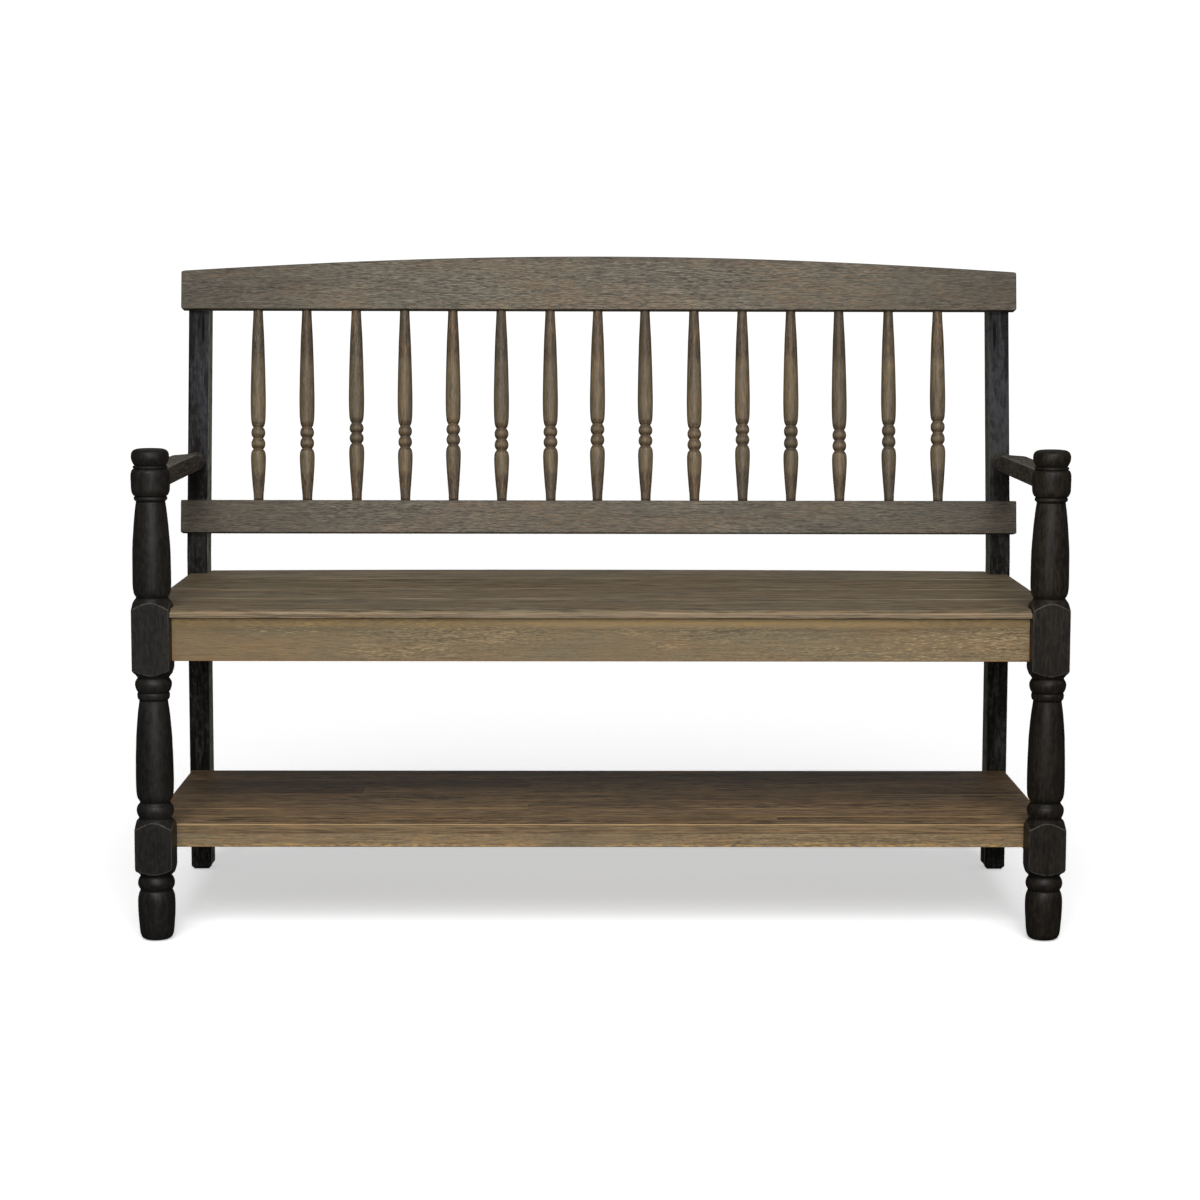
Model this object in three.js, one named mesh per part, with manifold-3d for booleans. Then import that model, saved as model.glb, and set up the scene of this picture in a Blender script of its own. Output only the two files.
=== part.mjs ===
// Deacons bench with a turned frame, spindle back and storage shelf.
// Millimetres, +Z up, front of the bench faces -Y, +X is the viewer's right.
// Every piece of the bench is a mesh of its own: legs, posts, arms, rails, spindles,
// boards, battens, braces and fasteners, joined by tenons, sockets, notches and bolts.

import * as THREE from 'three';
import { mergeVertices } from 'three/addons/utils/BufferGeometryUtils.js';
import Module from 'manifold-3d';

const wasm = await Module();
wasm.setup();

// ---------------------------------------------------------------- driving dimensions
const GAP = 0.3;                 // clearance between touching pieces

const LEG_X = 608.3;             // front leg and back post centre lines, each side
const LEG_HALF = 25.5;           // half of the 51 mm square blocks on the front legs
const LEG_BARREL_R = 26.4;       // fattest turned radius of the leg
const LEG_BOTTOM = 1.2;          // legs stand this far off the floor, on their glides

const POST_HALF = 15.5;          // half width of a back post
const POST_FRONT = 460.3;        // front face of a back post, from the front leg axis
const POST_DEPTH = 45;
const POST_CHAMFER = 4.5;        // round the foot of a post
const KINK_Z = 485;              // height where a post starts to lean back
const RAKE = 9 * Math.PI / 180;
const POST_END = 415;            // length of the raked part of a post
const FRONT_KINK = KINK_Z;       // the raked part is measured from the front face at this height

const RAIL_HALF = 632.5;         // half length of the lower back rail
const CREST_HALF = 634.5;        // half length of the crest rail
const RAIL_T0 = -9;              // front and back faces of the rails, from the post's front face
const RAIL_T1 = 13;
const LOWER_S0 = 33.2;           // lower rail, measured up the rake
const LOWER_S1 = 82.8;
const CREST_S0 = 373.2;          // straight lower edge of the crest rail
const CREST_TOP_Z = 935.4;       // top of the crest rail at mid length, front edge
const CREST_A = 6.40e-5;         // arch of its top edge: z = top - A x^2 + B x^4
const CREST_B = 1.94e-11;

// centres of the fifteen spindles, left to right, as they stand: about 73.6 apart
const SPINDLE_X = [
  -517.4, -443.5, -368.4, -294.8, -221.6, -148.3, -74.0, -2.3,
  70.3, 144.5, 217.8, 291.4, 365.0, 440.3, 515.0,
];
const SPINDLE_T = 2;             // spindle axis, from the post's front face
const SPINDLE_TENON_R = 5.5;
const SPINDLE_TENON = 12;
const SPINDLE_SIDES = 12;

const SEAT_TOP = 457;
const SEAT_THICK = 12;
const SEAT_HALF = 620;
const SEAT_FRONT = -20;
const SEAT_BACK = 504.7;
const APRON_Z0 = 384.2;
const APRON_THICK = 20;
const APRON_FRONT = -1.5;
const SIDE_X0 = 597;             // side aprons and shelf side stretchers, 22 mm thick
const SIDE_X1 = 619;
const REAR_APRON_Y0 = 472;

const SHELF_TOP = 154.6;
const SHELF_THICK = 12.5;
const SHELF_HALF = 621;
const SHELF_FRONT = 25.8;
const SHELF_BACK = 460;
const SHELF_RAIL_Z0 = 122.5;
const STRETCHER_Z0 = 102;

const ARM_Z0 = 616;
const ARM_Z1 = 642;
const ARM_X0 = 597;
const ARM_X1 = 634;
const ARM_ROUND_R = 14;          // rear end of the arm
const ARM_ROUND_X = 610.5;
const ARM_ROUND_Z = 625;
const ARM_TENON_R = 8;

const TENON_Z0 = 408;            // seat frame tenons, above the hanger bolts
const TENON_Z1 = 438;
const BOLT_Z = 397;              // hanger bolts
const BRACE_Z0 = 386;
const BRACE_Z1 = 430;

// the origin lies under the middle of the bench: front and back limits of the whole piece
const Y_MIN = -LEG_BARREL_R;
const Y_MAX = POST_FRONT + POST_END * Math.sin(RAKE) + POST_DEPTH * Math.cos(RAKE);

// ---------------------------------------------------------------- colours
const BLACK = { color: 0x3d3c3a, roughness: 0.55, metalness: 0 };
const GREY_WOOD = { color: 0x9c8f7c, roughness: 0.6, metalness: 0 };
const SEAT_WOOD = { color: 0x9a8b74, roughness: 0.55, metalness: 0 };
const GOLD_WOOD = { color: 0xb59a74, roughness: 0.6, metalness: 0 };
const HIDDEN_WOOD = { color: 0xb8a27e, roughness: 0.8, metalness: 0 };
const STEEL = { color: 0x9a9a98, roughness: 0.35, metalness: 1 };
const PLASTIC = { color: 0x2c2c2c, roughness: 0.6, metalness: 0 };

// ---------------------------------------------------------------- solids
function solid(geometry) {
  const bare = new THREE.BufferGeometry();
  bare.setAttribute('position', geometry.getAttribute('position').clone());
  if (geometry.index) bare.setIndex(geometry.index.clone());
  const g = mergeVertices(bare, 1e-4);
  const index = g.index.array;
  const tri = [];
  for (let i = 0; i < index.length; i += 3) {
    const a = index[i], b = index[i + 1], c = index[i + 2];
    if (a !== b && b !== c && a !== c) tri.push(a, b, c);
  }
  const make = (t) => new wasm.Manifold(new wasm.Mesh({
    numProp: 3,
    vertProperties: new Float32Array(g.getAttribute('position').array),
    triVerts: new Uint32Array(t),
  }));
  let m = make(tri);
  if (m.volume() < 0) {
    const flipped = [];
    for (let i = 0; i < tri.length; i += 3) flipped.push(tri[i], tri[i + 2], tri[i + 1]);
    m = make(flipped);
  }
  return m;
}

function geometryOf(manifold) {
  const mesh = manifold.getMesh();
  const n = mesh.numProp;
  const count = mesh.vertProperties.length / n;
  const position = new Float32Array(count * 3);
  for (let i = 0; i < count; i++) {
    for (let k = 0; k < 3; k++) position[3 * i + k] = mesh.vertProperties[n * i + k];
  }
  const g = new THREE.BufferGeometry();
  g.setAttribute('position', new THREE.BufferAttribute(position, 3));
  g.setIndex(new THREE.BufferAttribute(new Uint32Array(mesh.triVerts), 1));
  g.computeVertexNormals();
  return g;
}

function mirrored(geometry) {
  const g = geometry.clone();
  const p = g.getAttribute('position');
  for (let i = 0; i < p.count; i++) p.setX(i, -p.getX(i));
  const index = g.index.array;
  for (let i = 0; i < index.length; i += 3) {
    const t = index[i + 1];
    index[i + 1] = index[i + 2];
    index[i + 2] = t;
  }
  g.computeVertexNormals();
  return g;
}

function block(x0, x1, y0, y1, z0, z1) {
  const g = new THREE.BoxGeometry(x1 - x0, y1 - y0, z1 - z0);
  g.translate((x0 + x1) / 2, (y0 + y1) / 2, (z0 + z1) / 2);
  return g;
}

// profile: pairs [height, radius] from bottom to top; closed onto the axis at both ends
function turned(profile, sides) {
  const pts = [];
  const first = profile[0], last = profile[profile.length - 1];
  if (first[1] > 0) pts.push(new THREE.Vector2(0, first[0]));
  for (const [h, r] of profile) pts.push(new THREE.Vector2(r, h));
  if (last[1] > 0) pts.push(new THREE.Vector2(0, last[0]));
  const g = new THREE.LatheGeometry(pts, sides);
  g.rotateX(Math.PI / 2);
  return g;
}

// a round bar of radius r along +Z from z0 to z1
function bar(r, z0, z1, sides = 8) {
  return turned([[z0, r], [z1, r]], sides);
}

function polygonShape(points) {
  return new THREE.Shape(points.map(([x, y]) => new THREE.Vector2(x, y)));
}

// outline in the YZ plane, extruded along X
function extrudeX(points, x0, x1) {
  const g = new THREE.ExtrudeGeometry(polygonShape(points), { depth: x1 - x0, bevelEnabled: false });
  g.applyMatrix4(new THREE.Matrix4().makeBasis(
    new THREE.Vector3(0, 1, 0), new THREE.Vector3(0, 0, 1), new THREE.Vector3(1, 0, 0)));
  g.translate(x0, 0, 0);
  return g;
}

// outline in the XZ plane, extruded along Y
function extrudeY(points, y0, y1) {
  const g = new THREE.ExtrudeGeometry(polygonShape(points), { depth: y1 - y0, bevelEnabled: false });
  g.applyMatrix4(new THREE.Matrix4().makeBasis(
    new THREE.Vector3(1, 0, 0), new THREE.Vector3(0, 0, 1), new THREE.Vector3(0, -1, 0)));
  g.translate(0, y1, 0);
  return g;
}

// outline in the XY plane, extruded up
function extrudeZ(points, z0, z1) {
  const g = new THREE.ExtrudeGeometry(polygonShape(points), { depth: z1 - z0, bevelEnabled: false });
  g.translate(0, 0, z0);
  return g;
}

// the raked frame of the back: x, t (through the rails, towards the back), s (up the rake)
const rakeMatrix = new THREE.Matrix4().makeRotationX(-RAKE)
  .setPosition(0, POST_FRONT, FRONT_KINK);
function raked(geometry) {
  geometry.applyMatrix4(rakeMatrix);
  return geometry;
}

function cut(body, ...geometries) {
  let m = body;
  for (const g of geometries) m = m.subtract(solid(g));
  return m;
}
function join(body, ...geometries) {
  let m = body;
  for (const g of geometries) m = m.add(solid(g));
  return m;
}

// ---------------------------------------------------------------- the group
const bench = new THREE.Group();
bench.name = 'bench';
const frame = new THREE.Group();          // shifts the front-leg origin to the middle of the bench
frame.position.y = -(Y_MIN + Y_MAX) / 2;
bench.add(frame);
const back = new THREE.Group();           // everything that leans back with the posts
back.position.set(0, POST_FRONT, FRONT_KINK);
back.rotation.x = -RAKE;
frame.add(back);

function piece(parent, name, geometry, look) {
  const mesh = new THREE.Mesh(geometry, new THREE.MeshStandardMaterial(look));
  mesh.name = name;
  parent.add(mesh);
  return mesh;
}
function pair(parent, name, manifold, look) {
  const g = geometryOf(manifold);
  piece(parent, name + '_right', g, look);
  piece(parent, name + '_left', mirrored(g), look);
}

// ---------------------------------------------------------------- front legs
const LEG_PROFILE = [
  [LEG_BOTTOM, 17.6], [8.5, 22.5], [36, 25.0], [58, 25.1], [69.3, 21.6],
  [77.5, 25.1], [88.5, 21.0], [94, 26], [104, 36.3],
  [155, 36.3], [165, 25.5], [168.9, 21.8], [179, 25.2],
  [190.8, 20.3], [201, 24.9], [225, 25.7], [268, 24.8], [307, 22.3], [331.5, 19.4],
  [336, 21.4], [342.5, 22.0], [350, 24.9], [356, 24.6], [361.8, 21.3],
  [367.3, 25.6], [375, 36.3], [455.5, 36.3], [465.8, 25.5], [471.4, 21.5],
  [479, 25.1], [510, 26.0], [548, 24.9], [580, 22.2], [602.5, 19.5],
  [607, 22.3], [615, 25.5], [634.4, LEG_BARREL_R], [643, 25.0],
  [649.8, 21.2], [657, 24.4], [663, 25.1], [669, 22.6], [673, 12], [673.2, 0],
];
const LEG_SIDES = 24;

function squareCutters(cx, z0, z1) {
  const h = LEG_HALF, far = 60;
  return [
    block(cx + h, cx + far, -far, far, z0, z1), block(cx - far, cx - h, -far, far, z0, z1),
    block(cx - far, cx + far, h, far, z0, z1), block(cx - far, cx + far, -far, -h, z0, z1),
  ];
}

// mortise with its clearance
function mortise(x0, x1, y0, y1, z0, z1) {
  return block(x0 - GAP, x1 + GAP, y0 - GAP, y1 + GAP, z0 - GAP, z1 + GAP);
}

// a bar along Y
function barY(r, x, z, y0, y1, sides = 8) {
  const g = bar(r, 0, y1 - y0, sides);
  g.rotateX(-Math.PI / 2);
  g.translate(x, y0, z);
  return g;
}

// hanger bolt lying diagonally in plan: from its tip in the leg or post out through the brace
const hangerFront = { tip: [LEG_X - LEG_HALF + 24, LEG_HALF - 24], dir: [-1, 1] };
const hangerBack = { tip: [LEG_X - POST_HALF + 17, POST_FRONT + 17], dir: [-1, -1] };
function alongHanger(geometry, h) {
  const angle = Math.atan2(h.dir[1], h.dir[0]);
  geometry.rotateY(Math.PI / 2);
  geometry.rotateZ(angle);
  geometry.translate(h.tip[0], h.tip[1], BOLT_Z);
  return geometry;
}

const foot = (x, y) => {
  const g = turned([[-1, 10 + GAP], [4.2 + GAP, 10 + GAP], [4.2 + GAP, 2], [17, 2]], 8);
  g.translate(x, y, 0);
  return g;
};

const legSolid = (grow) => {
  const g = turned(LEG_PROFILE.map(([h, r]) => [h, r === 0 ? 0 : r + grow]), LEG_SIDES);
  g.translate(LEG_X, 0, 0);
  return solid(g);
};

const frontApronTenon = [LEG_X - LEG_HALF - GAP, LEG_X - LEG_HALF + 15, APRON_FRONT + 4, APRON_FRONT + 16, TENON_Z0, TENON_Z1];
const sideApronFrontTenon = [SIDE_X0 + 5, SIDE_X1 - 5, LEG_HALF - 15, LEG_HALF + GAP, TENON_Z0, TENON_Z1];
const sideApronRearTenon = [SIDE_X0 + 5, SIDE_X1 - 5, POST_FRONT - GAP, POST_FRONT + 12, TENON_Z0, TENON_Z1];
const stretcherFrontTenon = [SIDE_X0 + 5, SIDE_X1 - 5, LEG_HALF - 15, LEG_HALF + GAP, 109, 136];
const stretcherRearTenon = [SIDE_X0 + 5, SIDE_X1 - 5, POST_FRONT - GAP, POST_FRONT + 12, 109, 136];
const rearApronTenon = [LEG_X - POST_HALF - GAP, LEG_X - POST_HALF + 13, REAR_APRON_Y0 + 4, REAR_APRON_Y0 + 16, TENON_Z0, TENON_Z1];

{
  let leg = legSolid(0);
  leg = cut(leg, ...squareCutters(LEG_X, 92, 166.5), ...squareCutters(LEG_X, 364, 467));
  leg = cut(leg,
    mortise(...frontApronTenon), mortise(...sideApronFrontTenon), mortise(...stretcherFrontTenon),
    barY(ARM_TENON_R + GAP, LEG_X + 3, 626.5, 8, 40, 10),
    alongHanger(bar(3.4, -2, 40), hangerFront),
    foot(LEG_X, 0));
  pair(frame, 'front_leg', leg, BLACK);
}

// ---------------------------------------------------------------- back posts
const armBolt = { x: LEG_X + 1.7, z: ARM_ROUND_Z };
const armEndY = POST_FRONT + (ARM_ROUND_Z - KINK_Z) * Math.tan(RAKE);
const railBoltS = [(LOWER_S0 + LOWER_S1) / 2, 395];
{
  const sin = Math.sin(RAKE), cos = Math.cos(RAKE);
  const up = (s, t) => [POST_FRONT + s * sin + t * cos, KINK_Z + s * cos - t * sin];
  // the back face of the raked part meets the vertical back face here
  const yb = POST_FRONT + POST_DEPTH;
  const sBack = (POST_DEPTH - POST_DEPTH * cos) / sin;
  const zBack = KINK_Z + sBack * cos - POST_DEPTH * sin;
  const c = POST_CHAMFER;
  const outline = [
    [POST_FRONT + c, LEG_BOTTOM], [yb - c, LEG_BOTTOM], [yb, LEG_BOTTOM + c], [yb, zBack],
    up(POST_END, POST_DEPTH), up(POST_END, 0), [POST_FRONT, KINK_Z], [POST_FRONT, LEG_BOTTOM + c],
  ];
  const x0 = LEG_X - POST_HALF, x1 = LEG_X + POST_HALF;
  let post = solid(extrudeX(outline, x0, x1));
  const fronts = [
    [x0 + c, LEG_BOTTOM - 0.5], [x1 - c, LEG_BOTTOM - 0.5], [x1 - c, LEG_BOTTOM], [x1, LEG_BOTTOM + c],
    [x1 + 0, 1000], [x0, 1000], [x0, LEG_BOTTOM + c], [x0 + c, LEG_BOTTOM],
  ];
  post = post.intersect(solid(extrudeY(fronts, POST_FRONT - 20, POST_FRONT + 200)));
  post = cut(post,
    raked(block(x0 - 10, x1 + 10, -30, RAIL_T1 + GAP, LOWER_S0 - GAP, LOWER_S1 + GAP)),
    raked(block(x0 - 10, x1 + 10, -30, RAIL_T1 + GAP, CREST_S0 - GAP, POST_END + 40)));
  post = cut(post,
    mortise(...sideApronRearTenon), mortise(...stretcherRearTenon), mortise(...rearApronTenon),
    alongHanger(bar(3.4, -2, 40), hangerBack),
    foot(LEG_X, POST_FRONT + POST_DEPTH / 2));
  for (const s of railBoltS) {
    post = cut(post,
      raked(barY(3.4, LEG_X, s, 0, 60)), raked(barY(7.4, LEG_X, s, POST_DEPTH - 8, 60)));
  }
  post = cut(post,
    barY(3.4, armBolt.x, armBolt.z, armEndY - 10, armEndY + 80),
    barY(7.4, armBolt.x, armBolt.z, armEndY + 38, armEndY + 80));
  pair(frame, 'back_post', post, BLACK);
}

// ---------------------------------------------------------------- arms
{
  // rounded rectangle that turns into a circle towards the post
  const w = (ARM_X1 - ARM_X0) / 2, h = (ARM_Z1 - ARM_Z0) / 2;
  const cx = (ARM_X0 + ARM_X1) / 2, cz = (ARM_Z0 + ARM_Z1) / 2;
  const corner = 6;
  const rect = [], round = [];
  for (let i = 0; i < 4; i++) {
    const sx = (i === 0 || i === 3) ? 1 : -1, sz = (i < 2) ? 1 : -1;
    for (let j = 0; j < 4; j++) {
      const a = i * Math.PI / 2 + j * Math.PI / 6;
      rect.push([cx + sx * (w - corner) + corner * Math.cos(a), cz + sz * (h - corner) + corner * Math.sin(a)]);
      const b = i * Math.PI / 2 + Math.PI / 16 + j * Math.PI / 8;
      round.push([ARM_ROUND_X + ARM_ROUND_R * Math.cos(b), ARM_ROUND_Z + ARM_ROUND_R * Math.sin(b)]);
    }
  }
  const steps = 10, y0 = 5, y1 = 500;
  const g = new THREE.ExtrudeGeometry(polygonShape(rect), { depth: 1, steps, bevelEnabled: false });
  const p = g.getAttribute('position');
  const stations = [y0, 150, 300, 345, 375, 400, 420, 440, 458, 476, y1];
  for (let i = 0; i < p.count; i++) {
    const x = p.getX(i), z = p.getY(i);
    const y = stations[Math.round(p.getZ(i) * steps)];
    let best = 0, d = Infinity;
    for (let k = 0; k < 16; k++) {
      const q = Math.hypot(rect[k][0] - x, rect[k][1] - z);
      if (q < d) { d = q; best = k; }
    }
    let f = Math.min(1, Math.max(0, (y - 345) / (476 - 345)));
    f = f * f * (3 - 2 * f);
    p.setXYZ(i,
      rect[best][0] * (1 - f) + round[best][0] * f,
      -y,
      rect[best][1] * (1 - f) + round[best][1] * f);
  }
  // the section was laid out in x and z, with the bar running towards the back
  for (let i = 0; i < p.count; i++) p.setY(i, -p.getY(i));
  let arm = solid(g);
  // coped over the barrel of the leg, cut to the slope of the post
  arm = arm.subtract(legSolid(GAP));
  arm = cut(arm, raked(block(LEG_X - 80, LEG_X + 80, -GAP, 80, 40, 260)));
  arm = join(arm, barY(ARM_TENON_R, LEG_X + 3, 626.5, 8 + GAP, 60, 10));
  arm = cut(arm, barY(3.4, armBolt.x, armBolt.z, armEndY - 42, armEndY + 20));
  pair(frame, 'arm', arm, BLACK);
}

// ---------------------------------------------------------------- back rails

function spindleHole(x, s0, s1) {
  const g = bar(SPINDLE_TENON_R + GAP + 0.05, s0, s1, SPINDLE_SIDES);
  g.translate(x, SPINDLE_T, 0);
  return g;
}

{
  const r = 2, L = RAIL_HALF;
  const outline = [
    [-L + r, LOWER_S0], [L - r, LOWER_S0], [L, LOWER_S0 + r], [L, LOWER_S1 - r],
    [L - r, LOWER_S1], [-L + r, LOWER_S1], [-L, LOWER_S1 - r], [-L, LOWER_S0 + r],
  ];
  let rail = solid(extrudeY(outline, RAIL_T0, RAIL_T1));
  rail = cut(rail, ...SPINDLE_X.map((x) => spindleHole(x, LOWER_S1 - SPINDLE_TENON - 0.6, LOWER_S1 + 2)));
  rail = cut(rail,
    barY(3.4, LEG_X, railBoltS[0], -2, 20), barY(3.4, -LEG_X, railBoltS[0], -2, 20));
  piece(back, 'lower_back_rail', geometryOf(rail), GREY_WOOD);
}
{
  const L = CREST_HALF, r = 3.5, n = 16;
  const cos = Math.cos(RAKE), sin = Math.sin(RAKE);
  const topS = (x) => (CREST_TOP_Z - CREST_A * x * x + CREST_B * x ** 4 - KINK_Z + RAIL_T0 * sin) / cos;
  const outline = [[-L + r, CREST_S0], [L - r, CREST_S0], [L - r * 0.3, CREST_S0 + r * 0.3], [L, CREST_S0 + r]];
  outline.push([L, topS(L) - 1]);
  for (let i = 0; i <= n; i++) {
    const x = (L - 1) * (1 - 2 * i / n);
    outline.push([x, topS(x)]);
  }
  outline.push([-L, topS(L) - 1], [-L, CREST_S0 + r], [-L + r * 0.3, CREST_S0 + r * 0.3]);
  let rail = solid(extrudeY(outline, RAIL_T0, RAIL_T1));
  rail = cut(rail, ...SPINDLE_X.map((x) => spindleHole(x, CREST_S0 - 2, CREST_S0 + SPINDLE_TENON + 0.6)));
  rail = cut(rail,
    barY(3.4, LEG_X, railBoltS[1], -2, 20), barY(3.4, -LEG_X, railBoltS[1], -2, 20));
  piece(back, 'crest_rail', geometryOf(rail), GREY_WOOD);
}

// ---------------------------------------------------------------- spindles
{
  const s0 = LOWER_S1, s1 = CREST_S0, T = SPINDLE_TENON_R;
  const profile = [
    [s0 - SPINDLE_TENON, T], [s0 + GAP, T], [s0 + GAP, 7.2],
    [118, 9.9], [148, 11.3], [163.5, 7.8], [171.5, 10.6], [180, 7.8],
    [188, 10.6], [196.5, 7.8], [206, 10.4], [238, 11.5], [300, 10.3],
    [s1 - GAP, 7.3], [s1 - GAP, T], [s1 + SPINDLE_TENON, T],
  ];
  const shape = geometryOf(solid(turned(profile, SPINDLE_SIDES)));
  SPINDLE_X.forEach((x, i) => {
    const name = 'spindle_' + String(i + 1).padStart(2, '0');
    const m = piece(back, name, shape.clone(), GREY_WOOD);
    m.position.set(x, SPINDLE_T, 0);
  });
}

// ---------------------------------------------------------------- seat frame
{
  const x1 = LEG_X - LEG_HALF - GAP;
  let apron = solid(block(-x1, x1, APRON_FRONT, APRON_FRONT + APRON_THICK, APRON_Z0, SEAT_TOP - SEAT_THICK - GAP));
  const t = frontApronTenon;
  apron = join(apron, block(x1 - 1, t[1], t[2], t[3], t[4], t[5]), block(-t[1], -x1 + 1, t[2], t[3], t[4], t[5]));
  apron = cut(apron, mortise(-20, 20, APRON_FRONT + APRON_THICK - 6, APRON_FRONT + APRON_THICK + 5, 428, 442));
  piece(frame, 'front_apron', geometryOf(apron), GOLD_WOOD);
}
{
  const x1 = LEG_X - POST_HALF - GAP;
  let apron = solid(block(-x1, x1, REAR_APRON_Y0, REAR_APRON_Y0 + APRON_THICK, APRON_Z0, SEAT_TOP - SEAT_THICK - GAP));
  const t = rearApronTenon;
  apron = join(apron, block(x1 - 1, t[1], t[2], t[3], t[4], t[5]), block(-t[1], -x1 + 1, t[2], t[3], t[4], t[5]));
  apron = cut(apron, mortise(-20, 20, REAR_APRON_Y0 - 5, REAR_APRON_Y0 + 6, 428, 442));
  piece(frame, 'rear_apron', geometryOf(apron), GOLD_WOOD);
}
{
  const y0 = LEG_HALF + GAP, y1 = POST_FRONT - GAP;
  let side = solid(block(SIDE_X0, SIDE_X1, y0, y1, APRON_Z0, SEAT_TOP - SEAT_THICK - GAP));
  const a = sideApronFrontTenon, b = sideApronRearTenon;
  side = join(side, block(a[0], a[1], a[2], y0 + 1, a[4], a[5]), block(b[0], b[1], y1 - 1, b[3], b[4], b[5]));
  pair(frame, 'seat_side_apron', side, GOLD_WOOD);
}
{
  const y0 = APRON_FRONT + APRON_THICK + GAP, y1 = REAR_APRON_Y0 - GAP;
  let batten = solid(block(-20, 20, y0, y1, 422, SEAT_TOP - SEAT_THICK - GAP));
  batten = join(batten, block(-20, 20, y0 - 6, y0 + 1, 428, 442), block(-20, 20, y1 - 1, y1 + 6, 428, 442));
  piece(frame, 'seat_centre_batten', geometryOf(batten), HIDDEN_WOOD);
}
{
  // seat board: half-round front edge, notched round the front legs and the posts
  const zb = SEAT_TOP - SEAT_THICK, f = SEAT_FRONT;
  const outline = [
    [f + 3.6, zb], [SEAT_BACK - 1, zb], [SEAT_BACK, zb + 1], [SEAT_BACK, SEAT_TOP - 2], [SEAT_BACK - 2, SEAT_TOP],
    [f + 4.6, SEAT_TOP], [f + 1.4, SEAT_TOP - 1.6], [f, SEAT_TOP - 5], [f, zb + 4.2], [f + 1.1, zb + 1.3],
  ];
  let seat = solid(extrudeX(outline, -SEAT_HALF, SEAT_HALF));
  const inner = LEG_X - LEG_HALF - GAP, far = SEAT_HALF + 20;
  const pInner = LEG_X - POST_HALF - GAP;
  seat = cut(seat,
    block(inner, far, f - 10, LEG_HALF + GAP, zb - 5, SEAT_TOP + 5),
    block(-far, -inner, f - 10, LEG_HALF + GAP, zb - 5, SEAT_TOP + 5),
    block(pInner, far, POST_FRONT - GAP, SEAT_BACK + 10, zb - 5, SEAT_TOP + 5),
    block(-far, -pInner, POST_FRONT - GAP, SEAT_BACK + 10, zb - 5, SEAT_TOP + 5));
  piece(frame, 'seat_board', geometryOf(seat), SEAT_WOOD);
}

// ---------------------------------------------------------------- corner braces and hanger bolts
{
  const yf = APRON_FRONT + APRON_THICK + GAP, xs = SIDE_X0 - GAP;
  // 28 mm thick blocks across the corners, with the inner corners of leg and post clear of them
  const d = 52, th = 40;
  const frontBrace = [[xs - d, yf], [xs, yf + d], [xs, yf + d + th], [xs - d - th, yf]];
  const yr = REAR_APRON_Y0 - GAP;
  const rearBrace = [[xs - d, yr], [xs - d - th, yr], [xs, yr - d - th], [xs, yr - d]];
  const braceHole = (h) => alongHanger(bar(4.4, 0, 120), h);
  const fb = cut(solid(extrudeZ(frontBrace, BRACE_Z0, BRACE_Z1)), braceHole(hangerFront));
  const rb = cut(solid(extrudeZ(rearBrace, BRACE_Z0, BRACE_Z1)), braceHole(hangerBack));
  pair(frame, 'corner_brace_front', fb, HIDDEN_WOOD);
  pair(frame, 'corner_brace_rear', rb, HIDDEN_WOOD);

  const hanger = (h, faceDistance, name) => {
    const nut = new THREE.CylinderGeometry(7.5, 7.5, 6.5, 6);
    nut.rotateX(Math.PI / 2);
    nut.translate(0, 0, faceDistance + GAP + 1.5 + 3.2);
    let bolt = solid(alongHanger(bar(3, 0, faceDistance + 16), h));
    bolt = join(bolt, alongHanger(bar(10, faceDistance + GAP, faceDistance + GAP + 1.6, 12), h), alongHanger(nut, h));
    pair(frame, name, bolt, STEEL);
  };
  // distance along each bolt from its tip to the inner face of its brace
  const distF = (hangerFront.tip[0] - hangerFront.tip[1] - (xs - d - th - yf)) / Math.SQRT2;
  const distR = (hangerBack.tip[0] + hangerBack.tip[1] - (xs - d - th + yr)) / Math.SQRT2;
  hanger(hangerFront, distF, 'hanger_bolt_front');
  hanger(hangerBack, distR, 'hanger_bolt_rear');
}

// ---------------------------------------------------------------- shelf
const SHELF_BOTTOM = SHELF_TOP - SHELF_THICK;
const shelfRailTenon = { x: SIDE_X0 + 10, z0: 126, z1: 138 };
const screwY = [120, 380];
{
  let panel = solid(block(-SHELF_HALF, SHELF_HALF, SHELF_FRONT, SHELF_BACK, SHELF_BOTTOM, SHELF_TOP));
  for (const y of screwY) {
    for (const sx of [-1, 1]) {
      const g = bar(2.6, SHELF_BOTTOM - 5, SHELF_BOTTOM + 9, 8);
      g.translate(sx * LEG_X, y, 0);
      panel = cut(panel, g);
    }
  }
  piece(frame, 'shelf_panel', geometryOf(panel), GOLD_WOOD);
}
{
  const y0 = LEG_HALF + GAP, y1 = POST_FRONT - GAP, z1 = SHELF_BOTTOM - GAP;
  let side = solid(block(SIDE_X0, SIDE_X1, y0, y1, STRETCHER_Z0, z1));
  const a = stretcherFrontTenon, b = stretcherRearTenon;
  side = join(side, block(a[0], a[1], a[2], y0 + 1, a[4], a[5]), block(b[0], b[1], y1 - 1, b[3], b[4], b[5]));
  side = cut(side,
    mortise(SIDE_X0 - 2, shelfRailTenon.x, SHELF_FRONT + 5, SHELF_FRONT + 15, shelfRailTenon.z0, shelfRailTenon.z1),
    mortise(SIDE_X0 - 2, shelfRailTenon.x, 443, 453, shelfRailTenon.z0, shelfRailTenon.z1));
  for (const y of screwY) {
    const g = turned([[STRETCHER_Z0 - 1, 5.6], [STRETCHER_Z0 + 14, 5.6], [STRETCHER_Z0 + 14, 2.8], [z1 + 1, 2.8]], 8);
    g.translate(LEG_X, y, 0);
    side = cut(side, g);
  }
  pair(frame, 'shelf_side_stretcher', side, BLACK);
}
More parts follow.
